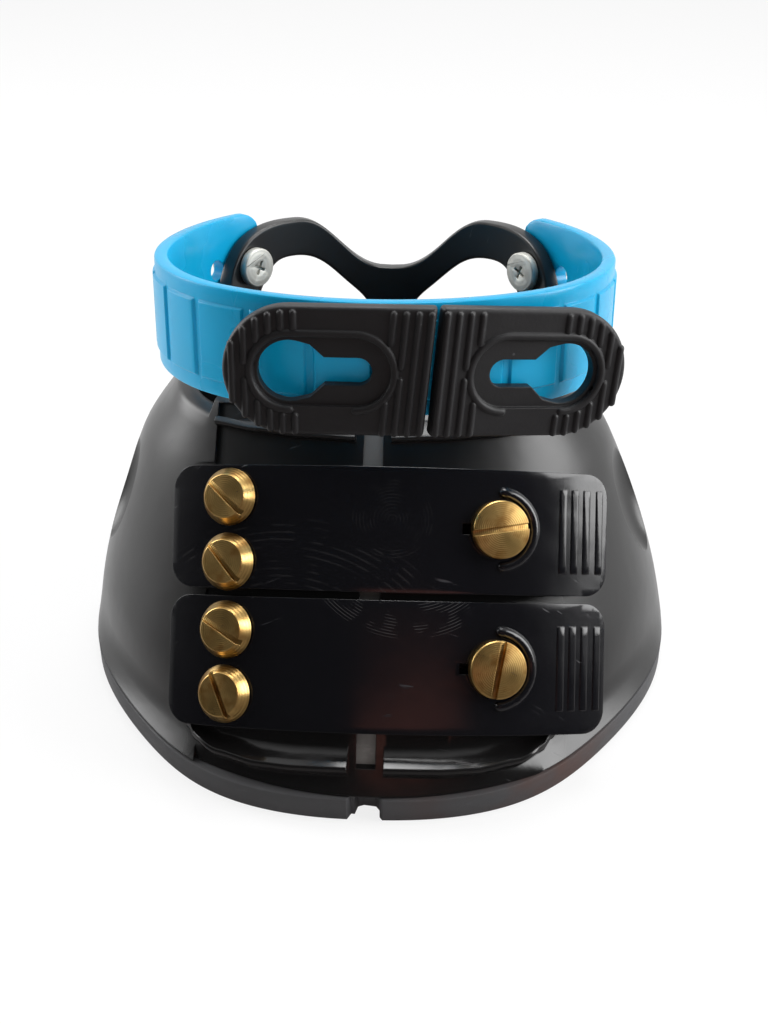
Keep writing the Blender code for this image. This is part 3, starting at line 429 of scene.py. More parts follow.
def soften(piece, width, segments=2, angle=38):
    settings = {"width": width, "segments": segments, "limit_method": "ANGLE"}
    settings.update(angle_limit=math.radians(angle), use_clamp_overlap=True, miter_outer="MITER_ARC")
    apply_modifier(piece, "BEVEL", **settings)


# Finishes

def shader_of(material):
    return material.node_tree.nodes["Principled BSDF"]


def linked_to(material, name):
    """What already feeds one input of a finish."""
    return shader_of(material).inputs[name].links[0].from_socket


def new_finish(name, color, roughness, metallic=0.0):
    material = bpy.data.materials.new(name)
    material.use_nodes = True
    shader = shader_of(material)
    shader.inputs["Base Color"].default_value = (*color, 1)
    shader.inputs["Roughness"].default_value = roughness
    shader.inputs["Metallic"].default_value = metallic
    return material


def node(material, kind, inputs=None, **settings):
    """Adds a shader node with its settings, and values or links for its inputs."""
    tree = material.node_tree
    item = tree.nodes.new("ShaderNode" + kind)
    for setting, value in settings.items():
        setattr(item, setting, value)
    for name, value in (inputs or {}).items():
        if isinstance(value, bpy.types.NodeSocket):
            tree.links.new(value, item.inputs[name])
        else:
            item.inputs[name].default_value = value
    return item


def shader_input(material, name, source):
    material.node_tree.links.new(source, shader_of(material).inputs[name])


def object_space(material, stretch=(1, 1, 1), turn=(0, 0, 0), shift=(0, 0, 0)):
    coordinates = node(material, "TexCoord").outputs["Object"]
    inputs = {"Vector": coordinates, "Scale": stretch, "Rotation": turn, "Location": shift}
    return node(material, "Mapping", inputs).outputs["Vector"]


def noise(material, vector, scale, detail=2.0, roughness=0.5):
    inputs = {"Vector": vector, "Scale": scale, "Detail": detail, "Roughness": roughness}
    return node(material, "TexNoise", inputs).outputs["Fac"]


def span(material, source, low, high, to_low=0.0, to_high=1.0):
    """Maps a value between two limits on to two others, smoothly and held at the ends."""
    inputs = {"Value": source, "From Min": low, "From Max": high, "To Min": to_low, "To Max": to_high}
    mapped = node(material, "MapRange", inputs, interpolation_type="SMOOTHSTEP")
    return mapped.outputs["Result"]


def reckon(material, operation, first, second=0.0):
    item = node(material, "Math", operation=operation)
    for index, value in enumerate((first, second)):
        if isinstance(value, bpy.types.NodeSocket):
            material.node_tree.links.new(value, item.inputs[index])
        else:
            item.inputs[index].default_value = value
    return item.outputs[0]


def tint(material, share, first, second):
    """Mixes two colours by a share, each a colour or a link."""
    item = node(material, "Mix", data_type="RGBA")
    material.node_tree.links.new(share, item.inputs["Factor"])
    for index, value in ((6, first), (7, second)):
        if isinstance(value, bpy.types.NodeSocket):
            material.node_tree.links.new(value, item.inputs[index])
        else:
            item.inputs[index].default_value = (*value, 1)
    return item.outputs[2]


def relief(material, height, strength, distance, below=None):
    inputs = {"Height": height, "Strength": strength, "Distance": distance}
    if below:
        inputs["Normal"] = below
    return node(material, "Bump", inputs).outputs["Normal"]


def specks(material, vector, scale, size, amount):
    """Sparse dust: small dots in some of a fine cell pattern's cells."""
    inputs = {"Vector": vector, "Scale": scale}
    cells = node(material, "TexVoronoi", inputs)
    dot = span(material, cells.outputs["Distance"], size * 0.6, size, 1.0, 0.0)
    chosen = node(material, "SeparateColor", {"Color": cells.outputs["Color"]}).outputs["Red"]
    patch = noise(material, vector, scale * 0.05, 2.0)
    kept = span(material, reckon(material, "MULTIPLY", chosen, patch), 1 - amount, 1.02 - amount)
    return reckon(material, "MULTIPLY", dot, kept)


def scratches(material, turn, scale, fineness):
    """Long thin marks one way, in patches."""
    stretched = object_space(material, (1, 14, 1), turn)
    lines = noise(material, stretched, scale, 3.0, 0.6)
    thin = span(material, lines, 0.66, 0.72)
    patch = span(material, noise(material, object_space(material), fineness, 2.0), 0.5, 0.62)
    return reckon(material, "MULTIPLY", thin, patch)


def round_edges(material, radius):
    return node(material, "Bevel", {"Radius": radius}, samples=4).outputs["Normal"]


def front_share(material):
    """One on the front panel, falling to nothing on the sides and back."""
    place = node(material, "SeparateXYZ", {"Vector": object_space(material)})
    aside = reckon(material, "ABSOLUTE", place.outputs["X"])
    middle = span(material, aside, 0.036, 0.043, 1.0, 0.0)
    return reckon(material, "MULTIPLY", middle, span(material, place.outputs["Y"], -0.020, -0.030))


def black_plastic(name, color, smooth, rough, edge, sides=0.0):
    """Glossy black moulding, duller at the sides if asked: soft waves, fine scratches and dust."""
    material = new_finish(name, color, smooth)
    space = object_space(material)
    waves = noise(material, space, 45, 3.0, 0.55)
    grain = noise(material, space, 900, 2.0)
    marks = scratches(material, (0.3, 0.2, 0.5), 60, 60)
    cross_marks = scratches(material, (0.1, 0.7, -0.8), 85, 45)
    marks = reckon(material, "MAXIMUM", marks, cross_marks)
    dust = specks(material, space, 620, 0.16, 0.30)
    wear_and_sheen = reckon(material, "MAXIMUM", marks, dust)
    level = span(material, waves, 0.3, 0.7, smooth, rough)
    if sides:
        duller = span(material, front_share(material), 0.0, 1.0, sides, 0.0)
        level = reckon(material, "ADD", level, duller)
    dulled = reckon(material, "MULTIPLY", wear_and_sheen, 0.25)
    shader_input(material, "Roughness", reckon(material, "ADD", level, dulled))
    pale = tuple(min(1.0, part * 4 + 0.03) for part in color)
    paled = reckon(material, "MULTIPLY", wear_and_sheen, 0.6)
    shader_input(material, "Base Color", tint(material, paled, color, pale))
    height = reckon(material, "ADD", waves, reckon(material, "MULTIPLY", grain, 0.02))
    height = reckon(material, "SUBTRACT", height, reckon(material, "MULTIPLY", marks, 0.03))
    shader_input(material, "Normal", relief(material, height, 0.35, 0.0006, round_edges(material, edge)))
    return material


def pale_arc_patch(material, chart, centre, reach, pitch):
    """Fine curved pale lines about a centre on the strap, fading at a given reach."""
    place = (*centre, 0)
    away = node(material, "VectorMath", {0: chart, 1: place}, operation="DISTANCE").outputs["Value"]
    wave = reckon(material, "SINE", reckon(material, "MULTIPLY", away, math.tau / pitch))
    lines = span(material, wave, 0.55, 0.95)
    inside = span(material, away, reach * 0.94, reach, 1.0, 0.0)
    broken = span(material, noise(material, chart, 22, 3.0), 0.46, 0.62)
    return reckon(material, "MULTIPLY", reckon(material, "MULTIPLY", lines, inside), broken)


def strap_plastic(name, patches):
    """The black strap finish with pale curved-line patches, each (centre, reach, pitch, strength); on the
    lower strap the patch is a painted reflection.
    """
    color = (0.0042, 0.0042, 0.0056)
    material = black_plastic(name, color, 0.13, 0.21, 0.0002)
    chart = node(material, "UVMap", uv_map="Strap").outputs["UV"]
    wear_and_sheen = 0.0
    for centre, reach, pitch, strength in patches:
        patch = pale_arc_patch(material, chart, centre, reach, pitch)
        wear_and_sheen = reckon(material, "MAXIMUM", wear_and_sheen, reckon(material, "MULTIPLY", patch, strength))
    base = linked_to(material, "Base Color")
    level = linked_to(material, "Roughness")
    # The patches lighten the base colour: on the lower strap this is a painted reflection, a crescent
    # highlight.
    shader_input(material, "Base Color", tint(material, wear_and_sheen, base, (0.034, 0.033, 0.034)))
    dulled = reckon(material, "MULTIPLY", wear_and_sheen, 0.20)
    shader_input(material, "Roughness", reckon(material, "ADD", level, dulled))
    return material


def turned_metal(name, color, dull, smooth, rough, rings):
    """Lathe-turned metal: rings about the head's own centre, tarnish and scratches."""
    material = new_finish(name, color, smooth, 1.0)
    flat = node(material, "UVMap", uv_map="Turned").outputs["UV"]
    centre = node(material, "Mapping", {"Vector": flat, "Location": (-0.5, -0.5, 0)}).outputs["Vector"]
    inputs = {"Vector": centre, "Scale": rings, "Distortion": 0.6, "Detail": 2.0, "Detail Scale": 3.0}
    ring = node(material, "TexWave", inputs, wave_type="RINGS", rings_direction="Z").outputs["Fac"]
    space = object_space(material)
    cloud = noise(material, space, 240, 3.0)
    fine = noise(material, object_space(material, (1, 5, 1), (0.4, 0.2, 0.9)), 700, 3.0, 0.7)
    tarnish_and_reflection_mask = span(material, cloud, 0.42, 0.72)
    dark_ring = reckon(material, "MULTIPLY", span(material, ring, 0.1, 0.5, 1.0, 0.0), 0.35)
    mottled = tint(material, reckon(material, "MAXIMUM", tarnish_and_reflection_mask, dark_ring), color, dull)
    shader_input(material, "Base Color", mottled)
    clouded = span(material, cloud, 0.3, 0.7, smooth, rough)
    level = reckon(material, "ADD", clouded, reckon(material, "MULTIPLY", fine, 0.08))
    shader_input(material, "Roughness", level)
    height = reckon(material, "ADD", ring, reckon(material, "MULTIPLY", fine, 0.6))
    shader_input(material, "Normal", relief(material, height, 0.35, 0.00006, round_edges(material, 0.00012)))
    return material


def matt_rubber(name, color, level, edge):
    """Matt rubber: moulded grain, dust and a few pale rubs."""
    material = new_finish(name, color, level)
    space = object_space(material)
    grain = noise(material, space, 1400, 3.0, 0.6)
    cloud = noise(material, space, 70, 3.0)
    rubs = span(material, noise(material, object_space(material, (1, 1, 3)), 120, 4.0, 0.7), 0.6, 0.8)
    dust = specks(material, space, 700, 0.22, 0.42)
    pale = tuple(part * 3.2 + 0.02 for part in color)
    lighter = tuple(part * 1.7 + 0.004 for part in color)
    base = tint(material, reckon(material, "MULTIPLY", rubs, 0.5), color, lighter)
    shader_input(material, "Base Color", tint(material, dust, base, pale))
    shader_input(material, "Roughness", span(material, cloud, 0.3, 0.7, level - 0.08, level + 0.08))
    height = reckon(material, "ADD", reckon(material, "MULTIPLY", grain, 0.3), cloud)
    shader_input(material, "Normal", relief(material, height, 0.3, 0.0004, round_edges(material, edge)))
    return material


def blue_plastic():
    """Glossy sky-blue moulding, a little cloudy, with dull rubs."""
    color = (0.001, 0.32, 0.56)
    material = new_finish("sky_blue_band", color, 0.28)
    space = object_space(material)
    cloud = noise(material, space, 38, 3.0)
    grain = noise(material, space, 700, 2.0)
    rubs = scratches(material, (1.2, 0.4, 0.1), 70, 60)
    dust = specks(material, space, 700, 0.15, 0.30)
    base = tint(material, span(material, cloud, 0.3, 0.75), color, (0.001, 0.37, 0.66))
    dusted = reckon(material, "MULTIPLY", dust, 0.5)
    shader_input(material, "Base Color", tint(material, dusted, base, (0.3, 0.6, 0.8)))
    clouded = span(material, cloud, 0.3, 0.7, 0.22, 0.36)
    level = reckon(material, "ADD", clouded, reckon(material, "MULTIPLY", rubs, 0.25))
    shader_input(material, "Roughness", level)
    height = reckon(material, "ADD", cloud, reckon(material, "MULTIPLY", grain, 0.04))
    shader_input(material, "Normal", relief(material, height, 0.3, 0.0005, round_edges(material, 0.0003)))
    shader = shader_of(material)
    shader.inputs["Specular IOR Level"].default_value = 0.34
    shader.inputs["Subsurface Weight"].default_value = 0.12
    shader.inputs["Subsurface Scale"].default_value = 0.003
    shader.inputs["Subsurface Radius"].default_value = (0.3, 0.8, 1.0)
    return material


def sole_rubber():
    """Matt grey sole rubber with ragged pale edges, and a painted brown reflection low on the right at the
    toe.
    """
    color = (0.050, 0.050, 0.053)
    material = matt_rubber("grey_sole_rubber", color, 0.62, 0.0004)
    base = linked_to(material, "Base Color")
    place = node(material, "SeparateXYZ", {"Vector": object_space(material)})
    # Painted brown reflection: a brown tint on the right of the toe.
    right = span(material, place.outputs["X"], 0.0, 0.030)
    toe = span(material, place.outputs["Y"], -0.030, -0.052)
    patch = span(material, noise(material, object_space(material), 60, 3.0), 0.35, 0.6)
    tarnish_and_reflection_mask = reckon(material, "MULTIPLY", reckon(material, "MULTIPLY", right, toe), patch)
    brown_reflection_share = reckon(material, "MULTIPLY", tarnish_and_reflection_mask, 0.7)
    shader_input(material, "Base Color", tint(material, brown_reflection_share, base, (0.075, 0.026, 0.016)))
    return material


# Pale curved-line patches on the straps, each (centre, reach, pitch, strength); the strong lower one is a
# painted reflection, a crescent highlight.
UPPER_STRAP_PALE_ARCS = [((0.31, -0.26), 0.42, 0.0150, 0.30), ((0.53, 0.15), 0.085, 0.0070, 0.30)]
LOWER_STRAP_PAINTED_REFLECTION = [((0.565, 0.42), 0.232, 0.0062, 1.0)]

shell_finish = black_plastic("black_shell_gloss", (0.0070, 0.0067, 0.0068), 0.11, 0.18, 0.0003, 0.18)
strap_finishes = {
    "upper": strap_plastic("black_upper_strap", UPPER_STRAP_PALE_ARCS),
    "lower": strap_plastic("black_lower_strap", LOWER_STRAP_PAINTED_REFLECTION),
}
tab_finish = matt_rubber("black_tab_rubber", (0.0090, 0.0088, 0.0100), 0.52, 0.0004)
# Pale grey sheet in the toe slit: painted light for the lit inside seen through it.
slit_light_sheet_finish = matt_rubber("grey_slit_painted_light", (0.175, 0.165, 0.155), 0.50, 0.0003)
sole_finish = sole_rubber()
band_finish = blue_plastic()
brass_finish = turned_metal("turned_brass", (0.60, 0.40, 0.145), (0.30, 0.155, 0.045), 0.24, 0.34, 9)
zinc_finish = turned_metal("dull_zinc", (0.56, 0.56, 0.52), (0.46, 0.45, 0.42), 0.50, 0.62, 3)


def dress(piece, finish, body, replaced=(), angle=34):
    """Finishes a piece: its material, smooth shading, the body it rides on and what it stands for."""
    piece.data.materials.clear()
    piece.data.materials.append(finish)
    only(piece)
    bpy.ops.object.shade_smooth_by_angle(angle=math.radians(angle))
    if body:
        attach(piece, body)
    if replaced:
        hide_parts(*replaced)
    return piece


def add_turned_map(piece, radius):
    """Lays the head's face flat on a map, so that its rings follow its own centre."""
    chart = piece.data.uv_layers.new(name="Turned")
    for loop in piece.data.loops:
        place = piece.data.vertices[loop.vertex_index].co
        chart.data[loop.index].uv = (0.5 + place.x / radius / 2, 0.5 + place.y / radius / 2)


# Shell

SHELL_COLUMNS = 288
SHELL_COURSES = 26
RIM_STEPS = 8
PANEL_COLUMNS = 48
PANEL_SPACE_HEIGHT = 0.03
LIP_STEPS = 40
GUTTER_STEPS = 8
WALL_TURNS = [math.tau * column / SHELL_COLUMNS for column in range(SHELL_COLUMNS + 1)]


def shell_section(angle):
    """Up the outside, over the rim and down the inside at one angle."""
    base = SOLE_THICKNESS + GAP
    floor = base + SHELL_FLOOR
    top = rim_z(angle) - SHELL_RIM_ROUND
    section = [Vector((0, 0, base)), shell_point(angle, base, SHELL_STEP)]
    for course in range(SHELL_COURSES + 1):
        section.append(shell_point(angle, blend(base + SHELL_STEP, top, course / SHELL_COURSES)))
    for step in range(1, RIM_STEPS):
        turn = math.pi * step / RIM_STEPS
        inset = SHELL_WALL / 2 * (1 - math.cos(turn))
        section.append(shell_point(angle, top + SHELL_RIM_ROUND * math.sin(turn), inset))
    for course in range(SHELL_COURSES + 1):
        section.append(shell_point(angle, blend(top, floor, course / SHELL_COURSES), SHELL_WALL))
    section.append(Vector((0, 0, floor)))
    return section


def panel_space(low, low_half_width, high, high_half_width, depth):
    """The space over the front panel between two heights on the slope."""
    def place(column, row):
        across = blend(-1.0, 1.0, column / PANEL_COLUMNS)
        along, half_width = ((low, low_half_width), (high, high_half_width))[row % 2]
        return wall_point(across * half_width, along, -depth)

    sheet = grid_sheet("panel_space", PANEL_COLUMNS, 1, place)
    outward = Vector((0, -math.sin(TOE_SLOPE), math.cos(TOE_SLOPE))) * PANEL_SPACE_HEIGHT
    bpy.ops.object.mode_set(mode="EDIT")
    bpy.ops.mesh.select_all(action="SELECT")
    bpy.ops.mesh.extrude_region_move(TRANSFORM_OT_translate={"value": outward})
    bpy.ops.object.mode_set(mode="OBJECT")
    return close(sheet)


def curve_at(curve, distance):
    """The height of a curve of (distance, height) points at a distance."""
    for (near, low), (far, high) in zip(curve, curve[1:]):
        if distance <= far:
            share = (distance - near) / (far - near)
            return blend(low, high, (smoothstep(share) + share) / 2)
    return curve[-1][1]


def ledge(name, side, last, section):
    """A raised ledge beside the slit; section gives its (along, lift) points at a distance."""
    stations = [blend(LIP_START, last, step / LIP_STEPS) for step in range(LIP_STEPS + 1)]
    stations = [stations[0]] + stations + [stations[-1]]
    sections = [section(distance) for distance in stations]

    def place(column, row):
        points = sections[column]
        across = SLIT_CENTRE + side * stations[column]
        if column in (0, len(stations) - 1):
            middle = [sum(part) / len(points) for part in zip(*points)]
            return wall_point(across, middle[0], middle[1])
        along, lift = points[row % len(points)]
        return wall_point(across, along, lift)

    return grid_sheet(name, len(stations) - 1, len(sections[0]), place)


def low_section(distance):
    """The lower lip: a sloping face, a rounded rim and a gutter running up under the strap."""
    edge = curve_at(LIP_LOW_EDGE, distance)
    height = LIP_LOW_RISE * smoothstep((LIP_LOW_FADE_END - distance) / LIP_LOW_FADE)
    points = [(edge - 0.0003, LIP_ROOT), (edge, LIP_FOOT), (edge + 0.0007, height * 0.55)]
    points += [(edge + 0.0013, height * 0.93), (edge + 0.0018, height), (edge + 0.0023, height - 0.0001)]
    start = edge + 0.0026
    for step in range(1, GUTTER_STEPS + 1):
        share = step / GUTTER_STEPS
        drop = (height + GUTTER_DEPTH) * (1 - (1 - share) ** 3)
        points.append((blend(start, GUTTER_END, share), height - 0.0002 - drop))
    return points + [(GUTTER_END, LIP_ROOT)]


def high_section(distance):
    """The upper lip: a thick rounded ledge that runs up into the rim."""
    edge = curve_at(LIP_HIGH_EDGE, distance)
    points = [(edge + 0.0002, LIP_ROOT), (edge, LIP_FOOT), (edge + 0.0001, 0.0012), (edge + 0.0004, 0.0017)]
    points += [(edge + 0.0009, 0.0019), (edge + 0.0014, 0.0017), (edge + 0.0020, 0.0012)]
    return points + [(LIP_HIGH_TOP, 0.0002), (LIP_HIGH_TOP, LIP_ROOT)]


def pocket(side):
    """A scoop sunk into the side wall."""
    centre = shell_point(side * POCKET_AZIMUTH, POCKET_CENTRE_Z)
    beside = shell_point(side * (POCKET_AZIMUTH + math.radians(5)), POCKET_CENTRE_Z)
    above = shell_point(side * POCKET_AZIMUTH, POCKET_CENTRE_Z + POCKET_DEPTH)
    along = (beside - centre).normalized()
    outward = along.cross(above - centre).normalized()
    if outward.x * side < 0:
        outward.negate()
    upward = outward.cross(along).normalized()
    bpy.ops.object.select_all(action="DESELECT")
    bpy.ops.mesh.primitive_uv_sphere_add(segments=96, ring_count=48, radius=1)
    scoop = bpy.context.object
    rows = Matrix((along, upward, outward)).transposed().to_4x4()
    rows.translation = centre + outward * POCKET_DEPTH
    return settle(scoop, rows @ Matrix.Diagonal((*POCKET_SIZE, 1)))


def model_shell():
    """The casing with its front panel, strap bed, pockets, lips, toe slit and insert bores."""
    sections = [shell_section(angle) for angle in WALL_TURNS]
    shell = grid_sheet("moulded_shell", SHELL_COLUMNS, len(sections[0]) - 1, lambda i, j: sections[i][j])
    cut(shell, panel_space(PANEL_FROM, PANEL_HALF_WIDTH_LOW, PANEL_TO, PANEL_HALF_WIDTH_HIGH, PANEL_DEPTH))
    reach = STRAP_RIGHT + STRAP_BED_MARGIN
    cut(shell, panel_space(STRAP_BED_FROM, reach, STRAP_BED_TO, reach, STRAP_BED_DEPTH))
    for side in (-1, 1):
        cut(shell, pocket(side))
        cut(shell, ledge("low_lip", side, LIP_LOW_END, low_section), "UNION")
        cut(shell, ledge("high_lip", side, LIP_HIGH_END, high_section), "UNION")
    height = SHELL_TOP_Z
    middle = (SLIT_CENTRE, SLIT_CUT_Y, SLIT_BOTTOM_Z + height / 2)
    cut(shell, block("slit", (SLIT_WIDTH, SLIT_CUT_LENGTH, height), middle))
    bore = [(FLANGE_BORE_RADIUS, -2 * OVERRUN), (FLANGE_BORE_RADIUS, INSERT_SEAT)]
    bore += [(INSERT_BORE_RADIUS, INSERT_SEAT), (INSERT_BORE_RADIUS, OVERRUN)]
    places = [(SCREW_ACROSS, along) for along in SCREW_ALONG]
    places += [(KNOB_ACROSS, along) for along in KNOB_ALONG.values()]
    for across, along in places:
        cut(shell, settle(turned("bore", bore, 48), wall_frame(across, along)))
    return dress(close(shell), shell_finish, "boot", ["shell"], 28)


# Where the painted-light sheet sits in the toe slit.
LIGHT_SHEET_FROM = 0.0010
LIGHT_SHEET_TO = 0.0775
LIGHT_SHEET_BACK = -0.0034
LIGHT_SHEET_FACE = -0.0017
LIGHT_SHEET_HALF_WIDTH = 0.0030
LIGHT_SHEET_MIDDLE = (0.040, -0.0026)


def model_slit_light_sheet():
    """A thin pale grey sheet across the toe slit from inside: painted light, standing in for the lit inside
    seen through the slit.
    """
    section = [(LIGHT_SHEET_FROM, LIGHT_SHEET_BACK), (LIGHT_SHEET_FROM, -0.0022), (0.0060, -0.0018)]
    section += [(0.0100, LIGHT_SHEET_FACE), (0.0745, LIGHT_SHEET_FACE), (LIGHT_SHEET_TO, -0.0019), (LIGHT_SHEET_TO, LIGHT_SHEET_BACK)]

    def place(column, row):
        if column in (0, 4):
            return wall_point(SLIT_CENTRE, *LIGHT_SHEET_MIDDLE)
        along, lift = section[row % len(section)]
        return wall_point(SLIT_CENTRE + (column - 2) * LIGHT_SHEET_HALF_WIDTH, along, lift)

    light_sheet = grid_sheet("toe_slit_light_sheet", 4, len(section), place)
    dress(light_sheet, slit_light_sheet_finish, "boot")


# Outsole

NOTCH_WIDTH = 0.0072
NOTCH_DEPTH = 0.0045
NOTCH_SHARES = (
    (-0.52, -1), (-0.56, -0.1), (-0.40, 0.42), (-0.30, 0.40), (-0.22, 0.88), (-0.05, 1.0),
    (0.30, 0.92), (0.46, 0.55), (0.42, 0.25), (0.50, 0.05), (0.46, -1),
)
GROOVE_SIZE = (0.054, 0.0042, 0.0044)
GROOVE_ASIDE = 0.033
GROOVE_PITCH = 0.020
GROOVE_TURN = math.radians(18)
GROOVE_ROWS = 5


def model_outsole():
    """The tread layer under the shell, with its toe notch and slanting grooves."""
    flat = SOLE_THICKNESS
    edge = SHELL_STEP
    levels = [(0.0, None), (0.0, edge), (edge * 0.3, edge * 0.3), (edge, 0.0)]
    levels += [(flat - edge, 0.0), (flat - edge * 0.3, edge * 0.3), (flat, edge), (flat, None)]

    def place(column, row):
        z, inset = levels[row]
        if inset is None:
            return Vector((0, 0, z))
        point = shell_point(WALL_TURNS[column], flat, inset)
        return Vector((point.x, point.y, z))

    sole = grid_sheet("outsole_layer", SHELL_COLUMNS, len(levels) - 1, place)
    notch = []
    for x, y in NOTCH_SHARES:
        notch.append((SLIT_CENTRE + NOTCH_WIDTH * x, -SOLE_HALF_LENGTH + NOTCH_DEPTH * y))
    cut(sole, outline_prism("notch", notch, -OVERRUN, OVERRUN))
    for side in (-1, 1):
        for row in range(GROOVE_ROWS):
            groove = block("groove", GROOVE_SIZE, (side * GROOVE_ASIDE, 0, 0))
            turn = Matrix.Rotation(side * GROOVE_TURN, 4, "Z")
            back = (row - GROOVE_ROWS // 2) * GROOVE_PITCH
            cut(sole, settle(groove, Matrix.Translation((0, back, 0)) @ turn))
    return dress(close(sole), sole_finish, "boot", ["outsole"])


# Straps

STRAP_CORNER = 0.005
STRAP_EDGE_ROUND = 0.00035
SCREW_HOLE_RADIUS = 0.0029
BUTTONHOLE_RADIUS = 0.0041
BUTTONHOLE_SLIT_SIZE = (0.0040, 0.0023, 0.02)
BUTTONHOLE_SLIT_ASIDE = 0.0053
BUTTONHOLE_RIM_RADIUS = 0.0077
BUTTONHOLE_RIM_HALF_DEGREES = 82
BUTTONHOLE_RIM_STEPS = 30
RIM_BEAD_RADIUS = 0.00115
RAISED_SUNK = 0.0001
STRAP_RIB_PLACES = (0.0384, 0.0411, 0.0439, 0.0470)
STRAP_RIB_SIZE = (0.0017, 0.0176, 0.0012)
STRAP_RIB_SUNK = 0.0003
STRAP_CUTS_ACROSS = 62
STRAP_CUTS_ALONG = 16
CHART_SCALE = 10


def strap_bead(points, radius):
    return bead("raised", [Vector(point) for point in points], radius, [Vector((0, 0, 1))] * len(points))


def model_strap(which):
    """One rubber strap, cut and raised while flat, then bent round the front."""
    low, high = STRAP_ROWS[which]
    knob = KNOB_ALONG[which]
    bpy.ops.object.select_all(action="DESELECT")
    bpy.ops.mesh.primitive_plane_add(size=1)
    strap = bpy.context.object
    strap.name = which + "_front_strap"
    size = (STRAP_RIGHT - STRAP_LEFT, high - low, 1, 1)
    middle = Vector(((STRAP_RIGHT + STRAP_LEFT) / 2, (high + low) / 2, STRAP_BACK))
    settle(strap, Matrix.Translation(middle) @ Matrix.Diagonal(size))
    bpy.ops.object.mode_set(mode="EDIT")
    bpy.ops.mesh.select_all(action="SELECT")
    bpy.ops.mesh.bevel(offset=STRAP_CORNER, segments=10, affect="VERTICES")
    bpy.ops.mesh.extrude_region_move(TRANSFORM_OT_translate={"value": (0, 0, STRAP_FRONT - STRAP_BACK)})
    bpy.ops.object.mode_set(mode="OBJECT")
    close(strap)
    holes = [(KNOB_ACROSS, knob, BUTTONHOLE_RADIUS)]
    holes += [(SCREW_ACROSS, spot, SCREW_HOLE_RADIUS) for spot in SCREW_ALONG if low < spot < high]
    for across, along, radius in holes:
        cut(strap, settle(drill(radius), Matrix.Translation((across, along, 0))))
    cut(strap, block("buttonhole_slit", BUTTONHOLE_SLIT_SIZE, (KNOB_ACROSS - BUTTONHOLE_SLIT_ASIDE, knob, 0)))
    soften(strap, STRAP_EDGE_ROUND, 3)
    front = STRAP_FRONT - RAISED_SUNK
    rim = []
    for step in range(BUTTONHOLE_RIM_STEPS + 1):
        swept = 2 * BUTTONHOLE_RIM_HALF_DEGREES * step / BUTTONHOLE_RIM_STEPS
        turn = math.radians(swept - BUTTONHOLE_RIM_HALF_DEGREES)
        across = KNOB_ACROSS + BUTTONHOLE_RIM_RADIUS * math.cos(turn)
        rim.append((across, knob + BUTTONHOLE_RIM_RADIUS * math.sin(turn), front))
    raised = [strap_bead(rim, RIM_BEAD_RADIUS)]
    for across in STRAP_RIB_PLACES:
        rib = block("rib", STRAP_RIB_SIZE, (across, knob, front - STRAP_RIB_SUNK))
        soften(rib, 0.0002, 2)
        raised.append(rib)
    for ridge in raised:
        cut(strap, ridge, "UNION")
    apply_modifier(strap, "TRIANGULATE")
    bpy.ops.object.mode_set(mode="EDIT")
    for step in range(1, STRAP_CUTS_ACROSS):
        place = (blend(STRAP_LEFT, STRAP_RIGHT, step / STRAP_CUTS_ACROSS), 0, 0)
        bpy.ops.mesh.select_all(action="SELECT")
        bpy.ops.mesh.bisect(plane_co=place, plane_no=(1, 0, 0))
    for step in range(1, STRAP_CUTS_ALONG):
        place = (0, blend(low, high, step / STRAP_CUTS_ALONG), 0)
        bpy.ops.mesh.select_all(action="SELECT")
        bpy.ops.mesh.bisect(plane_co=place, plane_no=(0, 1, 0))
    bpy.ops.object.mode_set(mode="OBJECT")
    chart = strap.data.uv_layers.new(name="Strap")
    for loop in strap.data.loops:
        place = strap.data.vertices[loop.vertex_index].co
        chart.data[loop.index].uv = (place.x * CHART_SCALE + 0.5, (place.y - low) * CHART_SCALE)
    for vertex in strap.data.vertices:
        vertex.co = wall_point(*vertex.co)
    replaced = [which + "_strap_anchor", which + "_strap_flap"]
    dress(strap, strap_finishes[which], None, replaced)
    middle = (low + high) / 2
    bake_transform(strap)
    return strap


# Screws, knobs and inserts

SHANK_RADIUS = 0.0025
NECK_RADIUS = 0.0036
SCREW_TOP = 0.0062
KNOB_TOP = 0.0058
HEAD_SLOT_SIZE = (0.014, 0.00115, 0.0022)
FLANGE_RADIUS = 0.0057
FLANGE_THICKNESS = 0.0014
INSERT_RADIUS = 0.0039
INSERT_HOLE_RADIUS = 0.0028
SCREW_PROFILE = [(SHANK_RADIUS, SHANK_TIP), (SHANK_RADIUS, HEAD_SEAT), (0.0058, HEAD_SEAT)]
SCREW_PROFILE += [(HEAD_RADIUS, 0.0036), (HEAD_RADIUS, 0.0038), (0.00455, 0.00612), (0.0044, SCREW_TOP)]
KNOB_PROFILE = [(SHANK_RADIUS, SHANK_TIP), (SHANK_RADIUS, STRAP_BACK), (NECK_RADIUS, STRAP_BACK)]
KNOB_PROFILE += [(NECK_RADIUS, HEAD_SEAT), (0.0058, HEAD_SEAT), (HEAD_RADIUS, 0.0036)]
KNOB_PROFILE += [(HEAD_RADIUS, 0.00555), (0.00575, KNOB_TOP)]


def slotted(name, profile, top, place, replaced):
    """A turned brass head with its slot, settled in its place on the front."""
    head = turned(name, profile, 96)
    cut(head, block("slot", HEAD_SLOT_SIZE, (0, 0, top)))
    soften(head, 0.00010, 2, 30)
    add_turned_map(head, HEAD_RADIUS)
    settle(head, place)
    return dress(head, brass_finish, "boot", [replaced], 26)


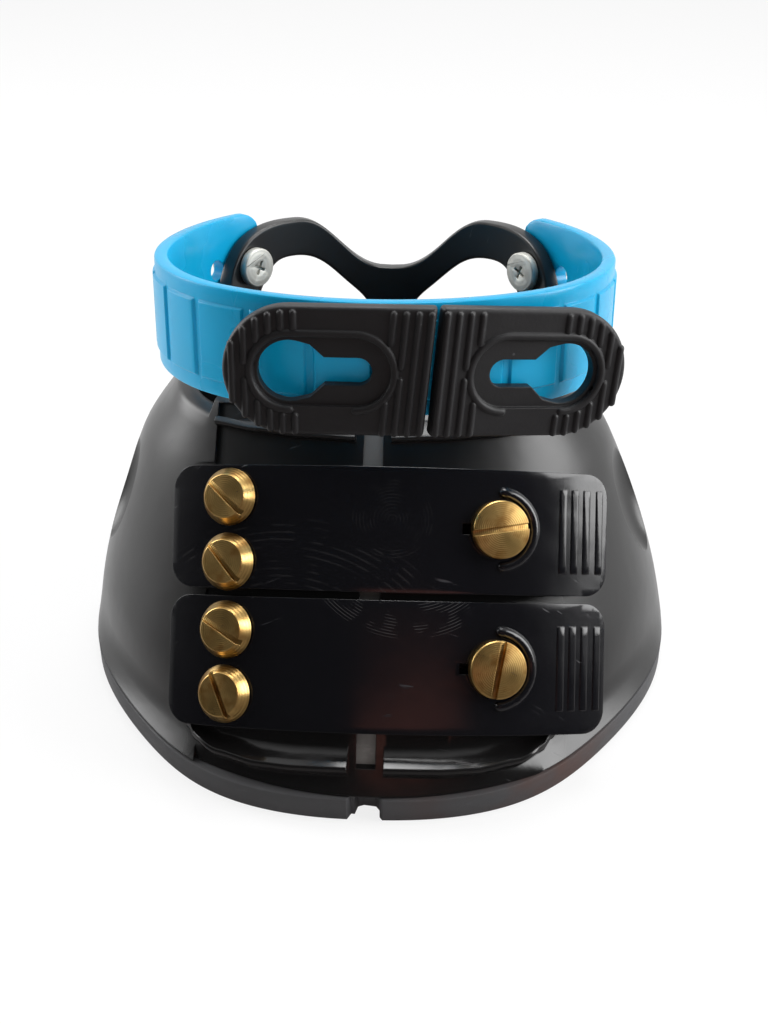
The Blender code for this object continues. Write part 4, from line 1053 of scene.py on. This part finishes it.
def model_screws_and_knobs():
    for index, along in enumerate(SCREW_ALONG):
        number = index + 1
        place = wall_frame(SCREW_ACROSS, along, SCREW_TURNS[index])
        slotted(f"slotted_screw_{number}", SCREW_PROFILE, SCREW_TOP, place, f"strap_screw_{number}")
    for which, along in KNOB_ALONG.items():
        place = wall_frame(KNOB_ACROSS, along, KNOB_TURNS[which])
        slotted(f"{which}_slotted_knob", KNOB_PROFILE, KNOB_TOP, place, f"{which}_knob")


def model_inserts():
    """Flanged inserts inside the wall, each bored through."""
    spots = {f"screw_insert_{i + 1}": (SCREW_ACROSS, along) for i, along in enumerate(SCREW_ALONG)}
    spots.update({f"{which}_knob_insert": (KNOB_ACROSS, along) for which, along in KNOB_ALONG.items()})
    seat = INSERT_SEAT - GAP
    for name, (across, along) in spots.items():
        profile = [(0.0055, seat - FLANGE_THICKNESS), (FLANGE_RADIUS, seat - 0.0012)]
        profile += [(FLANGE_RADIUS, seat), (INSERT_RADIUS, seat), (INSERT_RADIUS, -PANEL_DEPTH)]
        insert = turned("flanged_" + name, profile, 64)
        cut(insert, drill(INSERT_HOLE_RADIUS))
        add_turned_map(insert, HEAD_RADIUS)
        settle(insert, wall_frame(across, along))
        dress(insert, brass_finish, "boot", [name])


# Pastern band

BAND_PADS_MM = (
    (0.6, 11.6), (13.0, 24.5), (25.8, 36.8), (38.1, 47.8), (49.2, 59.8), (61.2, 72.2), (73.6, 84.6),
)
PAD_HALF_HEIGHT = 0.0078
PAD_RISE = 0.0005
PAD_SLOPE = 0.0004
SLOPE_SHARES = (0, 0.33, 0.67, 1)
BAND_END_ROUND = 0.0050
BAND_EDGE_ROUND = 0.0005
BAND_STEPS = 220
BAND_HOLE_RADIUS = 0.0023
SPARE_HOLE_SPACING = 0.0088


def band_angle(along):
    """The band angle at a length round the band from its front, in metres."""
    front = BAND_FRONT_RADIUS * BAND_FRONT_ANGLE
    corner = BAND_CORNER_RADIUS * (math.pi / 2 - BAND_FRONT_ANGLE)
    size = abs(along)
    if size <= front:
        angle = size / BAND_FRONT_RADIUS
    elif size <= front + corner:
        angle = BAND_FRONT_ANGLE + (size - front) / BAND_CORNER_RADIUS
    else:
        angle = math.pi / 2 + (size - front - corner) / BACK_RADIUS
    return math.copysign(angle, along)


def pad_rise(along, height):
    """How far a raised panel lifts the band's outer face here."""
    room = PAD_HALF_HEIGHT - abs(height)
    inside = -1.0
    for low, high in BAND_PADS_MM:
        inside = max(inside, min(abs(along) - low / 1000, high / 1000 - abs(along)))
    return PAD_RISE * smoothstep(min(room, inside) / PAD_SLOPE)


def model_band():
    """The blue ring with its raised pads and rounded ends, each with a used and a spare hole."""
    half = BAND_HEIGHT / 2
    corner = math.pi / 2 - BAND_FRONT_ANGLE
    reach = BAND_FRONT_RADIUS * BAND_FRONT_ANGLE + BAND_CORNER_RADIUS * corner
    reach += BACK_RADIUS * (BAND_END_ANGLE - math.pi / 2)
    places = {blend(-reach, reach, step / BAND_STEPS) for step in range(BAND_STEPS + 1)}
    for low, high in BAND_PADS_MM:
        for side in (-1, 1):
            for edge, inward in ((low, 1), (high, -1)):
                for share in SLOPE_SHARES:
                    places.add(side * (edge / 1000 + inward * PAD_SLOPE * share))
    places = sorted(places)
    places = [places[0]] + places + [places[-1]]
    edge = BAND_EDGE_ROUND
    section = [(0.0, height) for height in (-half + edge, -0.0090)]
    section += [(0.0, -PAD_HALF_HEIGHT + PAD_SLOPE * share) for share in SLOPE_SHARES]
    section += [(0.0, height) for height in (-0.004, 0.0, 0.004)]
    section += [(0.0, PAD_HALF_HEIGHT - PAD_SLOPE * share) for share in reversed(SLOPE_SHARES)]
    section += [(0.0, 0.0090), (0.0, half - edge), (-edge * 0.3, half - edge * 0.3), (-edge, half)]
    inner = -BAND_THICKNESS
    section += [(inner + edge, half), (inner + edge * 0.3, half - edge * 0.3), (inner, half - edge)]
    section += [(inner, height) for height in (0.006, 0.0, -0.006)]
    section += [(inner, -half + edge), (inner + edge * 0.3, -half + edge * 0.3), (inner + edge, -half)]
    section += [(-edge, -half), (-edge * 0.3, -half + edge * 0.3), (0.0, -half + edge)]

    def place(column, row):
        along = places[column]
        if column in (0, len(places) - 1):
            return band_point(band_angle(along), inner / 2, 0.0)
        offset, height = section[row]
        short = max(0.0, BAND_END_ROUND - (reach - abs(along)))
        room = half - BAND_END_ROUND + math.sqrt(BAND_END_ROUND**2 - short**2)
        height *= room / half
        if offset == 0.0:
            offset = pad_rise(along, height)
        return band_point(band_angle(along), offset, height)

    band = grid_sheet("blue_pastern_band", len(places) - 1, len(section) - 1, place)
    spare = BAND_SCREW_ANGLE - SPARE_HOLE_SPACING / BACK_RADIUS
    for side in (-1, 1):
        for angle in (BAND_SCREW_ANGLE, spare):
            cut(band, settle(drill(BAND_HOLE_RADIUS), outward_frame(side * angle)))
    return dress(close(band), band_finish, "boot", ["pastern_band"])


ZINC_HEAD_RADIUS = 0.0044
ZINC_HEAD_HEIGHT = 0.0018
ZINC_SHANK_RADIUS = 0.0019
ZINC_SHANK_END = 0.0021
CROSS_ARM_SIZE = (0.0032, 0.0006, 0.0020)
CROSS_TURNS = (25, 115)
NUT_RADIUS = 0.0050
NUT_HEIGHT = 0.0018
NUT_HOLE_RADIUS = 0.0022


def model_band_fasteners():
    """Cross-head screws through the lobes, and their round nuts outside the band."""
    seat = -(BAND_THICKNESS + FRAME_THICKNESS + 2 * GAP)
    profile = [(0.0041, seat - ZINC_HEAD_HEIGHT), (ZINC_HEAD_RADIUS, seat - 0.0015)]
    profile += [(ZINC_HEAD_RADIUS, seat), (ZINC_SHANK_RADIUS, seat), (ZINC_SHANK_RADIUS, ZINC_SHANK_END)]
    for word, side in (("left", -1), ("right", 1)):
        place = outward_frame(side * BAND_SCREW_ANGLE)
        screw = turned(f"cross_head_screw_{word}", profile, 72)
        for turn in CROSS_TURNS:
            arm = block("arm", CROSS_ARM_SIZE, (0, 0, seat - ZINC_HEAD_HEIGHT))
            cut(screw, settle(arm, Matrix.Rotation(math.radians(turn), 4, "Z")))
        soften(screw, 0.00008, 2, 35)
        add_turned_map(screw, HEAD_RADIUS)
        settle(screw, place)
        dress(screw, zinc_finish, "boot", [f"band_screw_{word}"])
        top = GAP + NUT_HEIGHT
        nut_profile = [(0.0047, GAP), (NUT_RADIUS, GAP + 0.0003), (NUT_RADIUS, top - 0.0005), (0.0044, top)]
        nut = turned(f"round_nut_{word}", nut_profile, 72)
        cut(nut, drill(NUT_HOLE_RADIUS))
        add_turned_map(nut, HEAD_RADIUS)
        settle(nut, place)
        dress(nut, zinc_finish, "boot", [f"band_nut_{word}"])


# Heel frame

FRAME_RAYS = 144
FRAME_COURSES = 8
FRAME_REACH_LIMIT = 0.06
FRAME_EDGE_ROUND = 0.0015
WINDOW_SMOOTHINGS = 32


def frame_top(angle):
    """Height of the frame's top edge: a valley, two crests and rounded shoulders."""
    size = abs(angle)
    if size <= FRAME_CREST_ANGLE:
        share = size / FRAME_CREST_ANGLE
        return blend(FRAME_VALLEY, FRAME_LOBE_TOP, share**3 * (share * (6 * share - 15) + 10))
    share = min(1.0, (size - FRAME_CREST_ANGLE) / (FRAME_HALF_ANGLE - FRAME_CREST_ANGLE))
    rise = (1 - share**FRAME_SHOULDER_POWER) ** (1 / FRAME_SHOULDER_POWER)
    return FRAME_LOBE_TOP - FRAME_SHOULDER_DROP * (1 - rise)


def frame_holds(angle, height):
    return 0 <= angle <= FRAME_HALF_ANGLE and FRAME_FOOT <= height <= frame_top(angle)


def window_holds(angle, height):
    """Whether a point is in the window, clear of the stem, the rail and the band screw."""
    if not FRAME_WINDOW_BOTTOM <= height <= frame_top(angle) - FRAME_RAIL:
        return False
    if not FRAME_STEM_HALF_WIDTH / BACK_RADIUS <= angle <= FRAME_WINDOW_LIMIT:
        return False
    aside = (angle - (math.pi - BAND_SCREW_ANGLE)) * BACK_RADIUS
    return math.hypot(aside, height) >= FRAME_SCREW_MARGIN


def farthest(centre, turn, holds):
    """The last point from a centre, in one direction, that a test still holds."""
    near, far = 0.0, FRAME_REACH_LIMIT
    for _ in range(40):
        middle = (near + far) / 2
        x, y = centre.x + math.cos(turn) * middle, centre.y + math.sin(turn) * middle
        near, far = (middle, far) if holds(x / BACK_RADIUS, y) else (near, middle)
    return Vector((centre.x + math.cos(turn) * near, centre.y + math.sin(turn) * near))


def frame_world(angle, height, depth):
    """Round the band's axis above, flaring out to the shell's rim below."""
    radius = BACK_RADIUS - BAND_THICKNESS - GAP - depth
    upper = band_world(radius * math.sin(angle), BACK_CENTRE + radius * math.cos(angle), height)
    turn = math.pi - angle * FRAME_FOOT_HALF_ANGLE / FRAME_HALF_ANGLE
    lower = shell_point(turn, foot_z(turn), depth) + BAND_AXIS * (height - FRAME_FOOT)
    share = (FRAME_FLARE_START - height) / (FRAME_FLARE_START - FRAME_FOOT)
    return upper.lerp(lower, smoothstep(share))


def model_heel_frame():
    """The frame, drawn flat round one window, mirrored, thickened and laid round the heel."""
    rays, courses = FRAME_RAYS, FRAME_COURSES
    centre = Vector((FRAME_WINDOW_ANGLE * BACK_RADIUS, FRAME_WINDOW_CENTRE))
    reach = FRAME_HALF_ANGLE * BACK_RADIUS
    turns = [math.tau * index / rays for index in range(rays)]
    for x, y in ((0, FRAME_VALLEY), (0, FRAME_FOOT), (reach, FRAME_FOOT)):
        turn = math.atan2(y - centre.y, x - centre.x) % math.tau
        turns[min(range(rays), key=lambda index: abs(turns[index] - turn))] = turn
    outline = [farthest(centre, turn, frame_holds) for turn in turns]
    window = [farthest(centre, turn, window_holds) for turn in turns]
    for _ in range(WINDOW_SMOOTHINGS):
        around = zip(window[-1:] + window[:-1], window, window[1:] + window[:1])
        window = [(before + 2 * point + after) / 4 for before, point, after in around]
    for outer in outline:
        if outer.x < 0.00005:
            outer.x = 0.0
    columns = list(zip(window, outline))
    columns.append(columns[0])

    def place(column, row):
        inner, outer = columns[column]
        return Vector((*inner.lerp(outer, row / courses), 0))

    heel = grid_sheet("windowed_heel_frame", rays, courses, place)
    apply_modifier(heel, "MIRROR", use_axis=(True, False, False), merge_threshold=0.00002)
    close(heel)
    bpy.ops.object.mode_set(mode="EDIT")
    bpy.ops.mesh.select_all(action="SELECT")
    bpy.ops.mesh.extrude_region_move(TRANSFORM_OT_translate={"value": (0, 0, FRAME_THICKNESS)})
    bpy.ops.object.mode_set(mode="OBJECT")
    close(heel)
    soften(heel, FRAME_EDGE_ROUND, 5, 50)
    for vertex in heel.data.vertices:
        vertex.co = frame_world(vertex.co.x / BACK_RADIUS, vertex.co.y, vertex.co.z)
    for side in (-1, 1):
        cut(heel, settle(drill(BAND_HOLE_RADIUS), outward_frame(side * BAND_SCREW_ANGLE)))
    return dress(close(heel), shell_finish, "boot", ["heel_frame"], 40)


# Keyhole tabs

DISH_RADIUS = 0.0066
DISH_DEPTH = 0.0007
DISH_START = 0.0140
RING_RADIUS = 0.0074
RING_BEAD_RADIUS = 0.0008
RING_MARGIN = 0.0011
RING_SUNK = 0.0003
RIB_PITCH = 0.0023
RIB_BEAD_RADIUS = 0.00072
RIB_SUNK = 0.0002
RIB_LEAST = 0.0012
RIB_STEPS = 6
INNER_RIBS = (0.0010, 4)
OUTER_RIBS = (0.0252, 6)
RIM_WIDTH = 0.0013
FOOT_RIM_WIDTH = 0.0007
TAB_EDGE_ROUND = 0.0008
TAB_END_STEPS = 40
COLLAR_EDGE_ROUND = 0.0004
SHOULDER_HALF = (
    (0.0, 0.0058), (0.0012, 0.0058), (0.0038, 0.0051), (0.0064, TAB_SLOT_HALF), (0.0090, 0.0),
)


def tab_matrix(side):
    """From a flat tab's reach, height and lift to its place on the joint."""
    yaw, roll = TAB_TURNS[side]
    place = band_frame(0.0) @ Matrix.Translation((TAB_JOINT_X, -TAB_LOOP_CLEARANCE, TAB_MIDDLE))
    place = place @ Matrix.Rotation(yaw, 4, "Z") @ Matrix.Rotation(roll, 4, "Y")
    return place @ Matrix(((side, 0, 0, 0), (0, 0, -1, 0), (0, 1, 0, 0), (0, 0, 0, 1)))


def stadium(first, last, radius, level, steps=24):
    """An outline round two centres on one level."""
    outline = []
    for centre, start in ((last, -90), (first, 90)):
        for step in range(steps + 1):
            turn = math.radians(start + 180 * step / steps)
            outline.append((centre + radius * math.cos(turn), level + radius * math.sin(turn)))
    return outline


def rib_spans(x, level):
    """The spans of height that a rib at this reach has between the ring and the rim."""
    beyond = max(0.0, x - TAB_LENGTH + TAB_END_RADIUS)
    rim = math.sqrt(max(0.0, TAB_END_RADIUS**2 - beyond**2))
    high, low = rim - RIM_WIDTH, FOOT_RIM_WIDTH - rim
    past = max(0.0, x - TAB_HOLE_REACH, DISH_START - x)
    clear = RING_RADIUS + RING_MARGIN
    if past >= clear:
        return [(low, high)]
    ring = math.sqrt(clear**2 - past**2)
    return [(level + ring, high), (low, level - ring)]


def model_tab(word, side):
    """A keyhole tab: ribbed plate, sunk dish, keyhole and the keeper loop round the band."""
    slant = math.tan(TAB_JOINT_SLANT - TAB_TURNS[side][1])
    level = TAB_HOLE_LEVEL - TAB_MIDDLE
    end = TAB_LENGTH - TAB_END_RADIUS
    outline = [(GAP / 2 - side * TAB_END_RADIUS * slant, -TAB_END_RADIUS)]
    for step in range(TAB_END_STEPS + 1):
        turn = math.radians(-90 + 180 * step / TAB_END_STEPS)
        outline.append((end + TAB_END_RADIUS * math.cos(turn), TAB_END_RADIUS * math.sin(turn)))
    outline.append((GAP / 2 + side * TAB_END_RADIUS * slant, TAB_END_RADIUS))
    tab = outline_prism(f"{word}_keyhole_tab", outline, 0.0, TAB_PLATE_THICKNESS)
    soften(tab, TAB_EDGE_ROUND, 4, 60)
    front = TAB_PLATE_THICKNESS
    floor = stadium(DISH_START, TAB_HOLE_REACH, DISH_RADIUS, level)
    cut(tab, outline_prism("dish", floor, front - DISH_DEPTH, front + OVERRUN))
    shoulder = list(SHOULDER_HALF) + [(x, -y) for x, y in reversed(SHOULDER_HALF[:-1])]
    shoulder = [(TAB_HOLE_REACH - x, level + y) for x, y in shoulder]
    cut(tab, outline_prism("shoulder", shoulder, -OVERRUN, 2 * OVERRUN))
    hole = turned("hole", [(TAB_HOLE_RADIUS, -OVERRUN), (TAB_HOLE_RADIUS, 2 * OVERRUN)], 72)
    cut(tab, settle(hole, Matrix.Translation((TAB_HOLE_REACH, level, 0))))
    slot = stadium(TAB_SLOT_REACH + TAB_SLOT_HALF, TAB_HOLE_REACH, TAB_SLOT_HALF, level)
    cut(tab, outline_prism("slot", slot, -OVERRUN, 2 * OVERRUN))
    up = Vector((0, 0, 1))
    crest = stadium(DISH_START, TAB_HOLE_REACH, RING_RADIUS, level)
    ring = [Vector((x, y, front - RING_SUNK)) for x, y in crest]
    ridges = [bead("ring", ring, RING_BEAD_RADIUS, [up] * len(ring))]
    reaches = []
    for (first, count), lean in ((INNER_RIBS, slant), (OUTER_RIBS, 0.0)):
        reaches += [(first + rib * RIB_PITCH, lean) for rib in range(count)]
    for x, lean in reaches:
        for low, high in rib_spans(x, level):
            if high - low < RIB_LEAST:
                continue
            ends = []
            for step in range(RIB_STEPS + 1):
                y = blend(low, high, step / RIB_STEPS)
                ends.append(Vector((x + side * y * lean, y, front - RIB_SUNK)))
            ridges.append(bead("rib", ends, RIB_BEAD_RADIUS, [up] * len(ends)))
    for ridge in ridges:
        cut(tab, ridge, "UNION")
    settle(tab, tab_matrix(side))
    close(tab)
    angle = TAB_JOINT_ANGLE + side * TAB_LOOP_SPACING / 2
    inside = BAND_THICKNESS + TAB_LOOP_CLEARANCE
    back = inside + TAB_LOOP_WALL
    yaw = TAB_TURNS[side][0]
    plane = TAB_JOINT_X * math.sin(yaw) + TAB_PLATE_BACK * math.cos(yaw) + TAB_PLATE_THICKNESS / 2
    depth = plane / math.cos(angle - yaw) - BAND_FRONT_RADIUS
    height = BAND_HEIGHT + 2 * (TAB_LOOP_CLEARANCE + TAB_LOOP_WALL)
    place = band_frame(angle) @ Matrix.Shear("XY", 4, (math.tan(TAB_JOINT_SLANT), 0))
    collar = block("collar", (TAB_LOOP_WIDTH, depth + back, height), (0, (back - depth) / 2, 0))
    soften(collar, COLLAR_EDGE_ROUND, 3, 60)
    cut(tab, settle(collar, place), "UNION")
    clear = TAB_LOOP_CLEARANCE
    hollow = (TAB_LOOP_WIDTH + 2 * GAP, clear + inside, BAND_HEIGHT + 2 * clear)
    cut(tab, settle(block("window", hollow, (0, (inside - clear) / 2, 0)), place))
    return dress(close(tab), tab_finish, f"{word}_tab", [f"{word}_tab"], 40)


model_shell()
model_slit_light_sheet()
model_outsole()
model_heel_frame()
model_band()
for strap_name in STRAP_ROWS:
    model_strap(strap_name)
model_screws_and_knobs()
model_inserts()
model_band_fasteners()
for tab_word, tab_side in (("left", -1), ("right", 1)):
    model_tab(tab_word, tab_side)


# Stage, light and camera

FLOOR_SIZE = 6
FLOOR_Z = -0.0002
LAMP_AIM = Vector((0, 0, 0.05))
CAMERA_LENS = 49.2
CAMERA_SENSOR = 36
CAMERA_RISE = math.radians(33)
CAMERA_TURN = math.radians(2.5)
CAMERA_DISTANCE = 0.322
CAMERA_TARGET = Vector((0, 0, 0.036))


def model_floor():
    """A white floor that reflections see as brown toward the viewer."""
    bpy.ops.object.select_all(action="DESELECT")
    bpy.ops.mesh.primitive_plane_add(size=FLOOR_SIZE, location=(0, 0, FLOOR_Z))
    floor = bpy.context.object
    floor.name = "white_floor"
    bpy.ops.object.transform_apply(location=True, rotation=True, scale=True)
    material = bpy.data.materials.new("white_floor")
    material.use_nodes = True
    tree = material.node_tree
    tree.nodes.clear()
    rays = node(material, "LightPath").outputs
    gloss = reckon(material, "MAXIMUM", rays["Is Glossy Ray"], rays["Is Transmission Ray"])
    share = reckon(material, "MULTIPLY", reckon(material, "MAXIMUM", rays["Is Camera Ray"], gloss), 0.82)
    matt = node(material, "BsdfDiffuse", {"Color": (0.86, 0.86, 0.86, 1)}).outputs[0]
    place = node(material, "SeparateXYZ", {"Vector": object_space(material)})
    front = reckon(material, "MULTIPLY", span(material, place.outputs["Y"], 0.02, -0.10), gloss)
    color = tint(material, front, (1, 1, 1), (0.050, 0.020, 0.015))
    white = node(material, "Emission", {"Color": color, "Strength": 1.0}).outputs[0]
    mixed = node(material, "MixShader", {"Fac": share})
    tree.links.new(matt, mixed.inputs[1])
    tree.links.new(white, mixed.inputs[2])
    output = tree.nodes.new("ShaderNodeOutputMaterial")
    tree.links.new(mixed.outputs[0], output.inputs["Surface"])
    floor.data.materials.append(material)


def light_world():
    """White to the camera; reflections see white except a dark room toward the viewer."""
    world = bpy.data.worlds.new("studio")
    bpy.context.scene.world = world
    world.use_nodes = True
    tree = world.node_tree
    tree.nodes.clear()
    rays = node(world, "LightPath").outputs
    direction = node(world, "SeparateXYZ", {"Vector": node(world, "TexCoord").outputs["Generated"]})
    toward = span(world, direction.outputs["Y"], -0.45, 0.10, 0.03, 1.0)
    gloss = reckon(world, "MAXIMUM", rays["Is Glossy Ray"], rays["Is Transmission Ray"])
    seen = reckon(world, "MULTIPLY", gloss, toward)
    soft = reckon(world, "MULTIPLY", reckon(world, "SUBTRACT", 1.0, gloss), 0.34)
    level = reckon(world, "MAXIMUM", reckon(world, "ADD", seen, soft), rays["Is Camera Ray"])
    shade = node(world, "Background", {"Color": (1, 1, 1, 1), "Strength": level}).outputs[0]
    tree.links.new(shade, tree.nodes.new("ShaderNodeOutputWorld").inputs["Surface"])


def add_lamp(name, spot, size, power_watts, color=(1, 1, 1)):
    lamp = bpy.data.lights.new(name, "AREA")
    lamp.shape = "ELLIPSE"
    lamp.size, lamp.size_y = size
    lamp.energy = power_watts
    lamp.color = color
    item = bpy.data.objects.new(name, lamp)
    bpy.context.scene.collection.objects.link(item)
    item.location = spot
    aim = LAMP_AIM - Vector(spot)
    item.rotation_euler = aim.to_track_quat("-Z", "Y").to_euler()


def add_camera():
    camera = bpy.data.cameras.new("camera")
    camera.lens = CAMERA_LENS
    camera.sensor_width = CAMERA_SENSOR
    item = bpy.data.objects.new("camera", camera)
    bpy.context.scene.collection.objects.link(item)
    rise, turn = CAMERA_RISE, CAMERA_TURN
    back = Vector((math.sin(turn) * math.cos(rise), -math.cos(turn) * math.cos(rise), math.sin(rise)))
    item.location = CAMERA_TARGET + back * CAMERA_DISTANCE
    item.rotation_euler = back.to_track_quat("Z", "Y").to_euler()
    camera.clip_start = 0.01
    bpy.context.scene.camera = item


model_floor()
light_world()
add_lamp("right_window", (0.55, -0.06, 0.33), (0.45, 0.45), 3.9)
add_lamp("left_window", (-0.58, 0.16, 0.30), (0.42, 0.42), 2.6)
add_lamp("ceiling", (0.05, 0.22, 0.72), (0.36, 0.36), 3.4)
add_lamp("brown_reflection", (0.050, -0.30, 0.150), (0.19, 0.034), 0.013, (1.0, 0.34, 0.25))
add_camera()
